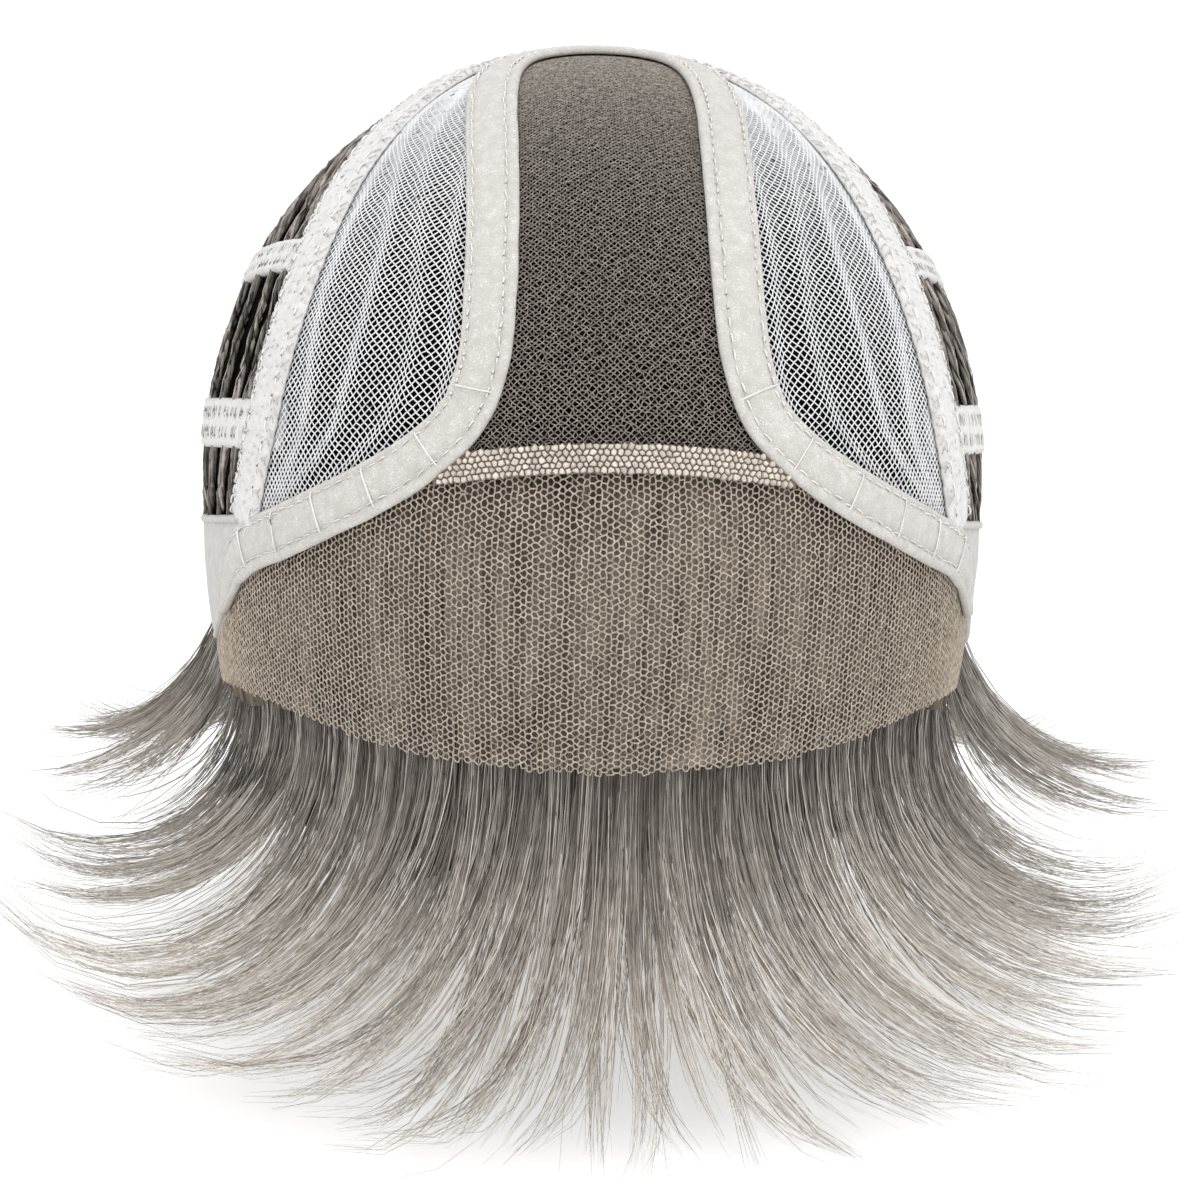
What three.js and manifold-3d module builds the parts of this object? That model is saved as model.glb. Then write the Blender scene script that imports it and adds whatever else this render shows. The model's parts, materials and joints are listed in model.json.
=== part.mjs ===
// Lace front wig, turned inside out: the cap's seams face out and the hair lies inside it.
// Millimetres, +Z up, front of the wig toward -Y, origin at the inside of the crown.
import * as THREE from 'three';
import ManifoldModule from 'manifold-3d';

// Cap form: an egg-shaped dome above its widest level, slightly drawn in below it.
const CAP_HALF_WIDTH = 80;
const CAP_HALF_LENGTH = 98;
const CROWN_HEIGHT = 84.3;
const TUCK_SHARE = 0.04;
const TUCK_DEPTH = 42;

// Cloth layers, as heights above the cap's inner face.
const BASE_LAYER = { inner: 0, outer: 1.0 };
const TRIM_LAYER = { inner: 1.5, outer: 2.6 };
const STRAP_LAYER = { inner: 1.3, outer: 2.1 };
const WEFT_LAYER = { inner: -0.7, outer: 1.0 };
const HAIR_LAYER = { inner: -5.8, outer: -2.2 };

// Widths of the sewn-on trims, and the room left between pieces.
const TAPE_WIDTH = 10.3;
const RIBBON_WIDTH = 11.5;
const UPPER_STRAP_WIDTH = 7.5;
const LOWER_STRAP_WIDTH = 10;
const STRIP_WIDTH = 5.4;
const WEFT_WIDTH = 2.8;
const SEAM_GAP = 0.8;
const TRIM_GAP = 0.4;

// Tape centre line from the crown to the temple: sideways, and degrees up from the front.
const TAPE_LINE = [
  { side: 0, pitch: 98.6 },
  { side: 9, pitch: 97.6 },
  { side: 16.2, pitch: 93.6 },
  { side: 20, pitch: 86.5 },
  { side: 22, pitch: 74 },
  { side: 22.3, pitch: 58 },
  { side: 22.5, pitch: 45 },
  { side: 23.1, pitch: 33.5 },
  { side: 24.4, pitch: 25.2 },
  { side: 28.2, pitch: 18.8 },
  { side: 36.2, pitch: 13.9 },
  { side: 45.5, pitch: 9.7 },
  { side: 54.5, pitch: 5.6 },
  { side: 62.4, pitch: 0.6 },
  { side: 68.2, pitch: -5 },
  { side: 71.2, pitch: -12 },
];

// Ribbon centre line from the crown to the temple.
const RIBBON_LINE = [
  { side: 0, pitch: 107.6 },
  { side: 12, pitch: 106 },
  { side: 23, pitch: 100.6 },
  { side: 33.6, pitch: 91 },
  { side: 43.3, pitch: 79.5 },
  { side: 50.6, pitch: 68 },
  { side: 56.2, pitch: 55.5 },
  { side: 60.3, pitch: 44 },
  { side: 63.5, pitch: 33 },
  { side: 65.8, pitch: 22.5 },
  { side: 67.6, pitch: 13 },
  { side: 69, pitch: 4 },
];

// Seam strip centre line, from the midline out under the tape.
const STRIP_LINE = [
  { side: 0, pitch: 14.0 },
  { side: 12, pitch: 13.8 },
  { side: 24, pitch: 13.2 },
  { side: 36, pitch: 12.2 },
];

// Lace heights by bearing from the front: hairline below, seam above.
const LACE_SECTIONS = [
  { bearing: 0, hairline: -37.8, seam: 23.3 },
  { bearing: 15, hairline: -37.6, seam: 22.2 },
  { bearing: 26, hairline: -37.2, seam: 18.6 },
  { bearing: 31, hairline: -37.0, seam: 15.8 },
  { bearing: 37, hairline: -36.6, seam: 11 },
  { bearing: 44.5, hairline: -36.2, seam: 4.8 },
  { bearing: 52, hairline: -36.0, seam: -1.6 },
  { bearing: 59, hairline: -36.6, seam: -7.5 },
  { bearing: 64.5, hairline: -37.6, seam: -14 },
  { bearing: 70, hairline: -39, seam: -22 },
  { bearing: 76, hairline: -41, seam: -29 },
  { bearing: 81, hairline: -43, seam: -33.5 },
];

// Ear tab and nape band heights by bearing: rim below, edge of the open back above.
const BAND_SECTIONS = [
  { bearing: 50, rim: -33.5, top: -5 },
  { bearing: 59, rim: -33.5, top: 0.8 },
  { bearing: 90, rim: -33.5, top: -11.7 },
  { bearing: 112, rim: -34.5, top: -13 },
  { bearing: 140, rim: -37.5, top: -18 },
  { bearing: 180, rim: -40, top: -25 },
];
const TAB_END = 112;

// Weft rows of the open back: the front row runs beside the ribbon, the last one over the nape.
const WEFT_COUNT = 10;
const WEFT_FRONT = { foot: -38, behindRibbon: 11.3 };
const WEFT_NAPE = { foot: 73, pitch: 185 };
const WEFT_CROWDING = 1.25;
const WEFT_GUIDES = 14;
const WEFT_FOOT_RISE = 2.6;

// Straps over the wefts: bearing round the cap and height, from the ribbon to the nape band.
const UPPER_STRAP_LINE = [
  { bearing: 62, height: 50.5 },
  { bearing: 90, height: 41.4 },
  { bearing: 120, height: 24 },
  { bearing: 152, height: -19 },
];
const LOWER_STRAP_LINE = [
  { bearing: 54, height: 20.5 },
  { bearing: 82, height: 11.6 },
  { bearing: 100, height: 4.5 },
  { bearing: 124, height: -15 },
];

// Hair locks by bearing at the rim: length, tip turned out from straight down, sideways sweep.
const LOCKS = [
  { bearing: -170, length: 84, flick: 96, sweep: -3, width: 28 },
  { bearing: -152, length: 86, flick: 100, sweep: -4, width: 28 },
  { bearing: -135, length: 82, flick: 106, sweep: -5, width: 28 },
  { bearing: -118, length: 76, flick: 116, sweep: 3, width: 26 },
  { bearing: -102, length: 68, flick: 138, sweep: 12, width: 22 },
  { bearing: -87, length: 62, flick: 118, sweep: 3, width: 20 },
  { bearing: -70, length: 76, flick: 122, sweep: -11, width: 20 },
  { bearing: -58, length: 76, flick: 110, sweep: -11, width: 21 },
  { bearing: -46, length: 102, flick: 146, sweep: -8, width: 24 },
  { bearing: -34, length: 100, flick: 128, sweep: -8.5, width: 25 },
  { bearing: -21, length: 104, flick: 124, sweep: -10, width: 26 },
  { bearing: -8, length: 106, flick: 114, sweep: -7, width: 26 },
  { bearing: 3, length: 95, flick: 88, sweep: -2, width: 22 },
  { bearing: 11, length: 96, flick: 92, sweep: 6, width: 24 },
  { bearing: 22, length: 96, flick: 100, sweep: 9.5, width: 25 },
  { bearing: 36, length: 96, flick: 104, sweep: 8, width: 26 },
  { bearing: 49, length: 89, flick: 98, sweep: 10.5, width: 24 },
  { bearing: 62, length: 85, flick: 106, sweep: 10.5, width: 22 },
  { bearing: 75, length: 84, flick: 116, sweep: 5, width: 20 },
  { bearing: 88, length: 75, flick: 124, sweep: -4, width: 20 },
  { bearing: 102, length: 75, flick: 135, sweep: -14, width: 22 },
  { bearing: 118, length: 78, flick: 116, sweep: -3, width: 26 },
  { bearing: 135, length: 84, flick: 106, sweep: 5, width: 28 },
  { bearing: 152, length: 86, flick: 100, sweep: 4, width: 28 },
  { bearing: 171, length: 86, flick: 96, sweep: 3, width: 28 },
];
const LACE_CORNER_ROOM = 12;
const LOCK_ROOT_RISE = 6.5;
const LOCK_ROOT_TURN = -12;
const LOCK_BEND = 1.25;
const LOCK_DRIFT = 4;
const LOCK_THICKNESS = { root: 3.4, belly: 8, tip: 1.6 };
const LOCK_WIDTH_SHARE = { root: 0.85, belly: 1.15, tip: 0.15 };
const LOCK_TAPER = 1.6;

// Grid counts along each kind of piece.
const LACE_CELLS = { across: 34, up: 7 };
const MONO_CELLS = { across: 6, up: 20 };
const MESH_CELLS = { across: 16, up: 10 };
const TAB_CELLS = { across: 8, up: 5 };
const NAPE_CELLS = { across: 22, up: 3 };
const HAIR_CELLS = { around: 36, up: 6 };
const TAPE_STEPS = 68;
const RIBBON_STEPS = 44;
const STRAP_STEPS = 16;
const STRIP_STEPS = 14;
const WEFT_STEPS = 18;
const LOCK_STEPS = 7;
const LOCK_FINE_STEPS = 8;
const LOCK_SIDES = 5;

// Pitches where the top panel ends, and where a mesh panel turns from the tape's leg to its foot.
const MONO_PITCH = { crown: 97, seam: 15.2 };
const MESH_CORNER_PITCH = 19;

// Shares along the tape and the ribbon where a mesh panel starts and ends.
const MESH_CROWN = { tape: 0.56, ribbon: 0.535 };
const MESH_TEMPLE = { tape: 0.965, ribbon: 0.965 };

// Pleat ribs of the mesh panels, fading out toward the panel's edges.
const PLEAT_COUNT = 4;
const PLEAT_HEIGHT = 1.3;
const PLEAT_FADE = { from: 0.13, to: 0.39 };

// Bearing from which the lace's seam falls toward the ear, along the ear tab's front edge.
const TAB_SEAM_START = 40;

// Room above and below a trim that cuts another one, and fineness of the searches on the cap.
const CUT_MARGIN = 1;
const HALVINGS = 50;
const SLOPE_STEP = 0.05;
const LINE_STEP = 0.002;

const DEG = Math.PI / 180;
const TUCK = TUCK_SHARE / TUCK_DEPTH ** 2;
const wasm = await ManifoldModule();
wasm.setup();

// Level of the cap's form at a point: 0 on the inner face, negative inside.
function capLevel(p) {
  const flat = (p.x / CAP_HALF_WIDTH) ** 2 + (p.y / CAP_HALF_LENGTH) ** 2;
  if (p.z >= 0) {
    return flat + (p.z / CROWN_HEIGHT) ** 2 - 1;
  }
  return flat - (1 - TUCK * p.z ** 2) ** 2;
}

// Where a ray from inside the cap meets its inner face.
function rayToCap(from, direction) {
  let near = 0;
  let far = 2 * CAP_HALF_LENGTH;
  for (let i = 0; i < HALVINGS; i += 1) {
    const middle = (near + far) / 2;
    if (capLevel(from.clone().addScaledVector(direction, middle)) < 0) {
      near = middle;
    } else {
      far = middle;
    }
  }
  return from.clone().addScaledVector(direction, near);
}

// Nearest way out from the cap's middle through a point.
function toCap(p) {
  return rayToCap(new THREE.Vector3(), p.clone().normalize());
}

// Outward normal of the cap at a point.
function capNormal(p) {
  const slope = (axis) => {
    const ahead = p.clone();
    const behind = p.clone();
    ahead[axis] += SLOPE_STEP;
    behind[axis] -= SLOPE_STEP;
    return capLevel(ahead) - capLevel(behind);
  };
  return new THREE.Vector3(slope('x'), slope('y'), slope('z')).normalize();
}

// Point of the cap a given way sideways, in the plane tilted up from the front by the pitch.
function crownPoint({ side, pitch }) {
  const direction = new THREE.Vector3(0, -Math.cos(pitch * DEG), Math.sin(pitch * DEG));
  return rayToCap(new THREE.Vector3(side, 0, 0), direction);
}

// Point of the cap at a height, at a bearing from the front toward +X.
function wallPoint(bearing, height) {
  const size = height < 0
    ? 1 - TUCK * height ** 2
    : Math.sqrt(1 - (height / CROWN_HEIGHT) ** 2);
  const x = CAP_HALF_WIDTH * size * Math.sin(bearing * DEG);
  const y = -CAP_HALF_LENGTH * size * Math.cos(bearing * DEG);
  return new THREE.Vector3(x, y, height);
}

// Point lifted off the cap's inner face.
function lifted(p, height) {
  return p.clone().addScaledVector(capNormal(p), height);
}

function mirrored(p) {
  return new THREE.Vector3(-p.x, p.y, p.z);
}

// Value of a table's column at a bearing, blended smoothly between its rows.
function tableValue(table, column, bearing) {
  const turn = Math.abs(bearing);
  const last = table.length - 2;
  const found = table.findIndex((row) => row.bearing > turn) - 1;
  const i = found < 0 ? last : Math.min(found, last);
  const share = (turn - table[i].bearing) / (table[i + 1].bearing - table[i].bearing);
  return THREE.MathUtils.lerp(table[i][column], table[i + 1][column], Math.min(Math.max(share, 0), 1));
}

// Smooth line on the cap through the points of one side.
function capLine(points) {
  const spline = new THREE.CatmullRomCurve3(points, false, 'centripetal');
  return (share) => toCap(spline.getPointAt(share));
}

// Smooth line on the cap from the left end, over the crown, to the right end.
function archLine(table) {
  const right = table.map(crownPoint);
  const left = right.slice(1).reverse().map(mirrored);
  return capLine([...left, ...right]);
}

// Line beside another line, a given way toward its right as seen from outside.
function besideLine(line, offset) {
  return (share) => {
    const p = line(share);
    const ahead = line(Math.min(share + LINE_STEP, 1));
    const behind = line(Math.max(share - LINE_STEP, 0));
    const across = ahead.sub(behind).cross(capNormal(p)).normalize();
    return toCap(p.addScaledVector(across, offset));
  };
}

// Geometry from corner points and triangles.
function solidFrom(points, triangles) {
  const geometry = new THREE.BufferGeometry();
  geometry.setAttribute('position', new THREE.Float32BufferAttribute(points.flatMap((p) => p.toArray()), 3));
  geometry.setIndex(triangles);
  geometry.computeVertexNormals();
  return geometry;
}

// Signed volume, to turn a solid's faces outward.
function turnedOutward(points, triangles) {
  let volume = 0;
  for (let i = 0; i < triangles.length; i += 3) {
    const [a, b, c] = triangles.slice(i, i + 3).map((k) => points[k]);
    volume += a.dot(b.clone().cross(c));
  }
  return volume > 0 ? triangles : triangles.toReversed();
}

// Cloth solid over a grid of cap points, between two heights that may vary over the grid.
function clothGeometry(pointAt, cells, innerAt, outerAt) {
  const points = [];
  const triangles = [];
  const columns = cells.across + 1;
  const rows = cells.up + 1;
  for (const heightAt of [innerAt, outerAt]) {
    for (let j = 0; j < rows; j += 1) {
      for (let i = 0; i < columns; i += 1) {
        const u = i / cells.across;
        const v = j / cells.up;
        points.push(lifted(pointAt(u, v), heightAt(u, v)));
      }
    }
  }
  const layer = columns * rows;
  const quad = (a, b, c, d) => triangles.push(a, b, c, a, c, d);
  for (let j = 0; j < cells.up; j += 1) {
    for (let i = 0; i < cells.across; i += 1) {
      const k = j * columns + i;
      quad(k, k + columns, k + columns + 1, k + 1);
      quad(layer + k, layer + k + 1, layer + k + columns + 1, layer + k + columns);
    }
  }
  for (let i = 0; i < cells.across; i += 1) {
    const top = cells.up * columns + i;
    quad(i, i + 1, layer + i + 1, layer + i);
    quad(top + 1, top, layer + top, layer + top + 1);
  }
  for (let j = 0; j < cells.up; j += 1) {
    const left = j * columns;
    const right = left + cells.across;
    quad(left + columns, left, layer + left, layer + left + columns);
    quad(right, right + columns, layer + right + columns, layer + right);
  }
  return solidFrom(points, turnedOutward(points, triangles));
}

// Band of even width along a line on the cap.
function bandGeometry(line, width, steps, layer) {
  const left = besideLine(line, -width / 2);
  const right = besideLine(line, width / 2);
  const pointAt = (u, v) => (u < 0.5 ? left(v) : right(v));
  return clothGeometry(pointAt, { across: 1, up: steps }, () => layer.inner, () => layer.outer);
}

// Solid of a geometry, for joining and cutting.
function toManifold(geometry) {
  return new wasm.Manifold(new wasm.Mesh({
    numProp: 3,
    vertProperties: geometry.attributes.position.array,
    triVerts: Uint32Array.from(geometry.index.array),
  }));
}

function fromManifold(solid) {
  const { vertProperties, triVerts } = solid.getMesh();
  const geometry = new THREE.BufferGeometry();
  geometry.setAttribute('position', new THREE.BufferAttribute(vertProperties, 3));
  geometry.setIndex(new THREE.BufferAttribute(triVerts, 1));
  geometry.computeVertexNormals();
  return geometry;
}

// Largest body left when one solid is cut clear of another.
function cutClear(geometry, cutter) {
  const bodies = toManifold(geometry).subtract(toManifold(cutter)).decompose();
  bodies.sort((a, b) => b.volume() - a.volume());
  return fromManifold(bodies[0]);
}

// Lines that the pieces share.
const tapeLine = archLine(TAPE_LINE);
const ribbonLine = archLine(RIBBON_LINE);
const stripLine = archLine(STRIP_LINE);
const CUT_LAYER = { inner: TRIM_LAYER.inner - CUT_MARGIN, outer: TRIM_LAYER.outer + CUT_MARGIN };

// Share along the right half of the tape where it reaches a given pitch.
function tapeShareAt(pitch) {
  let near = 0.5;
  let far = 1;
  for (let i = 0; i < HALVINGS; i += 1) {
    const middle = (near + far) / 2;
    const p = tapeLine(middle);
    if (Math.atan2(p.z, -p.y) / DEG > pitch) {
      near = middle;
    } else {
      far = middle;
    }
  }
  return near;
}

// Lace front: from the hairline up to the seam, under the tape at the sides.
function laceGeometry() {
  const reach = LACE_SECTIONS.at(-1).bearing;
  const pointAt = (u, v) => {
    const bearing = THREE.MathUtils.lerp(-reach, reach, u);
    const hairline = tableValue(LACE_SECTIONS, 'hairline', bearing);
    const seam = tableValue(LACE_SECTIONS, 'seam', bearing) - SEAM_GAP / 2;
    return wallPoint(bearing, THREE.MathUtils.lerp(hairline, seam, v));
  };
  return clothGeometry(pointAt, LACE_CELLS, () => BASE_LAYER.inner, () => BASE_LAYER.outer);
}

// Monofilament top: rows from one tape leg to the other, from the crown to the seam strip.
function monoGeometry() {
  const edge = besideLine(tapeLine, SEAM_GAP);
  const crown = tapeShareAt(MONO_PITCH.crown);
  const seam = tapeShareAt(MONO_PITCH.seam);
  const pointAt = (u, v) => {
    const right = edge(THREE.MathUtils.lerp(crown, seam, v));
    return toCap(mirrored(right).lerp(right, u));
  };
  return clothGeometry(pointAt, MONO_CELLS, () => BASE_LAYER.inner, () => BASE_LAYER.outer);
}

// Right mesh panel: between the ribbon and the tape, with pleat ribs from the crown down.
function meshGeometry() {
  const tapeEdge = besideLine(tapeLine, -SEAM_GAP);
  const ribbonEdge = besideLine(ribbonLine, SEAM_GAP);
  const corner = tapeShareAt(MESH_CORNER_PITCH);
  const leg = (v) => tapeEdge(THREE.MathUtils.lerp(MESH_CROWN.tape, corner, v));
  const hem = (u) => tapeEdge(THREE.MathUtils.lerp(corner, MESH_TEMPLE.tape, u));
  const rear = (v) => ribbonEdge(THREE.MathUtils.lerp(MESH_CROWN.ribbon, MESH_TEMPLE.ribbon, v));
  const top = (u) => leg(0).lerp(rear(0), u);
  const pointAt = (u, v) => {
    const across = leg(v).lerp(rear(v), u);
    const along = top(u).lerp(hem(u), v);
    const ends = leg(0).lerp(rear(0), u).lerp(leg(1).lerp(rear(1), u), v);
    return toCap(across.add(along).sub(ends));
  };
  const fade = (share) => {
    const edge = Math.min(share, 1 - share);
    return THREE.MathUtils.smoothstep(edge, PLEAT_FADE.from, PLEAT_FADE.to);
  };
  const ribAt = (u, v) => {
    const wave = Math.max(-Math.cos(2 * Math.PI * PLEAT_COUNT * u), 0);
    return PLEAT_HEIGHT * wave * fade(u) * fade(v);
  };
  const outerAt = (u, v) => BASE_LAYER.outer + ribAt(u, v);
  const innerAt = (u, v) => BASE_LAYER.inner + ribAt(u, v);
  return clothGeometry(pointAt, MESH_CELLS, innerAt, outerAt);
}

// Right ear tab: from the lace's side edge back to the nape band.
function tabGeometry() {
  const seamBearing = (height) => {
    const rows = LACE_SECTIONS.filter((row) => row.bearing > TAB_SEAM_START);
    const i = Math.max(rows.findIndex((row) => row.seam <= height), 1);
    const share = (height - rows[i - 1].seam) / (rows[i].seam - rows[i - 1].seam);
    return THREE.MathUtils.lerp(rows[i - 1].bearing, rows[i].bearing, share);
  };
  const first = BAND_SECTIONS[0];
  const pointAt = (u, v) => {
    const height = THREE.MathUtils.lerp(first.rim + SEAM_GAP, first.top, v);
    const front = seamBearing(height) + SEAM_GAP;
    const bearing = THREE.MathUtils.lerp(front, TAB_END, u);
    const rim = tableValue(BAND_SECTIONS, 'rim', bearing) + SEAM_GAP;
    const top = tableValue(BAND_SECTIONS, 'top', bearing);
    return wallPoint(bearing, THREE.MathUtils.lerp(rim, top, v));
  };
  return clothGeometry(pointAt, TAB_CELLS, () => BASE_LAYER.inner, () => BASE_LAYER.outer);
}

// Nape band: round the back from one ear tab to the other.
function napeGeometry() {
  const start = TAB_END + SEAM_GAP / 2;
  const pointAt = (u, v) => {
    const turn = THREE.MathUtils.lerp(start, 360 - start, u);
    const bearing = turn > 180 ? turn - 360 : turn;
    const rim = tableValue(BAND_SECTIONS, 'rim', bearing) + SEAM_GAP;
    const top = tableValue(BAND_SECTIONS, 'top', bearing);
    return wallPoint(bearing, THREE.MathUtils.lerp(rim, top, v));
  };
  return clothGeometry(pointAt, NAPE_CELLS, () => BASE_LAYER.inner, () => BASE_LAYER.outer);
}

// Foot of a weft, just above the band that it is sewn to.
function weftFoot(depth) {
  const bearing = Math.acos(-depth / CAP_HALF_LENGTH) / DEG;
  return wallPoint(bearing, tableValue(BAND_SECTIONS, 'top', bearing) + WEFT_FOOT_RISE);
}

// Last weft line: the cut of the cap by a plane through both feet and a point of the midline.
function napeLine() {
  const middle = weftFoot(WEFT_NAPE.foot).setX(0);
  const rise = crownPoint({ side: 0, pitch: WEFT_NAPE.pitch }).sub(middle).normalize();
  return (share) => {
    const turn = Math.PI * (1 - share);
    const direction = new THREE.Vector3(Math.cos(turn), 0, 0).addScaledVector(rise, Math.sin(turn));
    return rayToCap(middle, direction.normalize());
  };
}

// Weft row: a line between the one beside the ribbon and the one over the nape.
function weftGeometry(row) {
  const toNape = (row / (WEFT_COUNT - 1)) ** WEFT_CROWDING;
  const foot = weftFoot(THREE.MathUtils.lerp(WEFT_FRONT.foot, WEFT_NAPE.foot, toNape));
  const front = besideLine(ribbonLine, -WEFT_FRONT.behindRibbon);
  const nape = napeLine();
  const spots = [mirrored(foot)];
  for (let i = 1; i < WEFT_GUIDES; i += 1) {
    const share = i / WEFT_GUIDES;
    spots.push(toCap(front(share).lerp(nape(share), toNape)));
  }
  return bandGeometry(capLine([...spots, foot]), WEFT_WIDTH, WEFT_STEPS, WEFT_LAYER);
}

// Right strap over the wefts, cut clear of the ribbon that it is sewn to.
function strapGeometry(table, width, cutter) {
  const line = capLine(table.map((row) => wallPoint(row.bearing, row.height)));
  return cutClear(bandGeometry(line, width, STRAP_STEPS, STRAP_LAYER), cutter);
}

// Height of the rim that the hair passes under: the hairline in front, the bands behind.
function rimHeight(bearing) {
  const lace = LACE_SECTIONS.at(-1).bearing + LACE_CORNER_ROOM;
  return Math.abs(bearing) < lace
    ? tableValue(LACE_SECTIONS, 'hairline', bearing)
    : tableValue(BAND_SECTIONS, 'rim', bearing);
}

// Hair lying inside the cap, as one bowl-shaped layer.
function hairBowl() {
  const points = [];
  const triangles = [];
  const { around, up } = HAIR_CELLS;
  const ringStart = (side, row) => side * (1 + around * up) + 1 + (row - 1) * around;
  [HAIR_LAYER.outer, HAIR_LAYER.inner].forEach((height) => {
    points.push(lifted(new THREE.Vector3(0, 0, CROWN_HEIGHT), height));
    for (let row = 1; row <= up; row += 1) {
      for (let i = 0; i < around; i += 1) {
        const bearing = 360 * (i / around) - 180;
        const rim = wallPoint(bearing, rimHeight(bearing));
        const share = row / up;
        const tilt = Math.atan2(rim.z, Math.hypot(rim.x, rim.y));
        const rise = THREE.MathUtils.lerp(Math.PI / 2, tilt, share);
        const flat = new THREE.Vector3(rim.x, rim.y, 0).normalize();
        const way = flat.multiplyScalar(Math.cos(rise)).setZ(Math.sin(rise));
        points.push(lifted(toCap(way), height));
      }
    }
  });
  for (let i = 0; i < around; i += 1) {
    const next = (i + 1) % around;
    const innerPole = 1 + around * up;
    triangles.push(0, ringStart(0, 1) + i, ringStart(0, 1) + next);
    triangles.push(innerPole, ringStart(1, 1) + next, ringStart(1, 1) + i);
    for (let row = 1; row < up; row += 1) {
      const [a, b] = [ringStart(0, row), ringStart(0, row + 1)];
      const [c, d] = [ringStart(1, row), ringStart(1, row + 1)];
      triangles.push(a + i, b + i, b + next, a + i, b + next, a + next);
      triangles.push(c + i, d + next, d + i, c + i, c + next, d + next);
    }
    const [a, b] = [ringStart(0, up), ringStart(1, up)];
    triangles.push(a + i, b + i, b + next, a + i, b + next, a + next);
  }
  return solidFrom(points, turnedOutward(points, triangles));
}

// Value that runs from root through belly to tip.
function alongLock(sizes, share) {
  return share < 0.5
    ? THREE.MathUtils.lerp(sizes.root, sizes.belly, share * 2)
    : THREE.MathUtils.lerp(sizes.belly, sizes.tip, (share * 2 - 1) ** LOCK_TAPER);
}

// Sections of a lock: it hangs from inside the rim, then turns outward and sweeps sideways to its tip.
function lockSections({ bearing, length, flick, sweep }) {
  const middle = (HAIR_LAYER.inner + HAIR_LAYER.outer) / 2;
  const steps = LOCK_STEPS * LOCK_FINE_STEPS;
  const sections = [];
  let place = lifted(wallPoint(bearing, rimHeight(bearing) + LOCK_ROOT_RISE), middle);
  for (let i = 0; i <= steps; i += 1) {
    const share = i / steps;
    const heading = (bearing + sweep * share) * DEG;
    const turn = THREE.MathUtils.lerp(LOCK_ROOT_TURN, flick, share ** LOCK_BEND) * DEG;
    const out = new THREE.Vector3(
      CAP_HALF_WIDTH * Math.sin(heading),
      -CAP_HALF_LENGTH * Math.cos(heading),
      0,
    ).normalize();
    const across = new THREE.Vector3(-out.y, out.x, 0);
    const along = out.multiplyScalar(Math.sin(turn)).setZ(-Math.cos(turn));
    if (i % LOCK_FINE_STEPS === 0) {
      sections.push({ share, place, across, front: across.clone().cross(along) });
    }
    const way = along.addScaledVector(across, LOCK_DRIFT * Math.sin(sweep * DEG) * share);
    place = place.clone().addScaledVector(way, length / steps);
  }
  return sections;
}

// One lock, as a flattened tube through its sections.
function lockGeometry(lock) {
  const points = [];
  const triangles = [];
  for (const { share, place, across, front } of lockSections(lock)) {
    const halfWidth = lock.width * alongLock(LOCK_WIDTH_SHARE, share) / 2;
    const halfThick = alongLock(LOCK_THICKNESS, share) / 2;
    for (let k = 0; k < LOCK_SIDES; k += 1) {
      const corner = 2 * Math.PI * (k / LOCK_SIDES);
      points.push(place.clone()
        .addScaledVector(across, halfWidth * Math.cos(corner))
        .addScaledVector(front, halfThick * Math.sin(corner)));
    }
  }
  for (let i = 0; i < LOCK_STEPS; i += 1) {
    for (let k = 0; k < LOCK_SIDES; k += 1) {
      const next = (k + 1) % LOCK_SIDES;
      const [a, b] = [i * LOCK_SIDES, (i + 1) * LOCK_SIDES];
      triangles.push(a + k, a + next, b + next, a + k, b + next, b + k);
    }
  }
  const tip = LOCK_STEPS * LOCK_SIDES;
  for (let k = 1; k < LOCK_SIDES - 1; k += 1) {
    triangles.push(0, k + 1, k);
    triangles.push(tip, tip + k, tip + k + 1);
  }
  return solidFrom(points, turnedOutward(points, triangles));
}

// Hair: the bowl and the locks, joined to one body.
function hairGeometry() {
  const pieces = [hairBowl(), ...LOCKS.map(lockGeometry)];
  return fromManifold(wasm.Manifold.union(pieces.map(toManifold)));
}

// Left-hand copy of a right-hand piece.
function mirroredGeometry(geometry) {
  const points = [];
  const { array } = geometry.attributes.position;
  for (let i = 0; i < array.length; i += 3) {
    points.push(new THREE.Vector3(-array[i], array[i + 1], array[i + 2]));
  }
  return solidFrom(points, turnedOutward(points, [...geometry.index.array]));
}

// Materials by what each piece is made of.
const CLOTH = {
  lace: { color: 0x8d8078, roughness: 0.85 },
  mono: { color: 0x5d534d, roughness: 0.85 },
  strip: { color: 0xb3a596, roughness: 0.7 },
  felt: { color: 0xdcd8d1, roughness: 0.95 },
  knit: { color: 0xdedfe1, roughness: 0.9 },
  mesh: { color: 0xcfd0d2, roughness: 0.9 },
  weft: { color: 0x4f4a47, roughness: 0.8 },
  hair: { color: 0x85817e, roughness: 0.55 },
};

const wig = new THREE.Group();
wig.name = 'lace_front_wig';
const cap = new THREE.Group();
cap.name = 'cap';
cap.position.z = -CROWN_HEIGHT;
wig.add(cap);

function add(name, geometry, cloth) {
  const mesh = new THREE.Mesh(geometry, new THREE.MeshStandardMaterial({ ...CLOTH[cloth], metalness: 0 }));
  mesh.name = name;
  cap.add(mesh);
}

function addPair(name, geometry, cloth) {
  add(`${name}_left`, mirroredGeometry(geometry), cloth);
  add(`${name}_right`, geometry, cloth);
}

// Panels of the base layer.
add('lace_front', laceGeometry(), 'lace');
add('mono_top', monoGeometry(), 'mono');
addPair('mesh_panel', meshGeometry(), 'mesh');
addPair('ear_tab', tabGeometry(), 'knit');
add('nape_band', napeGeometry(), 'knit');

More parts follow.
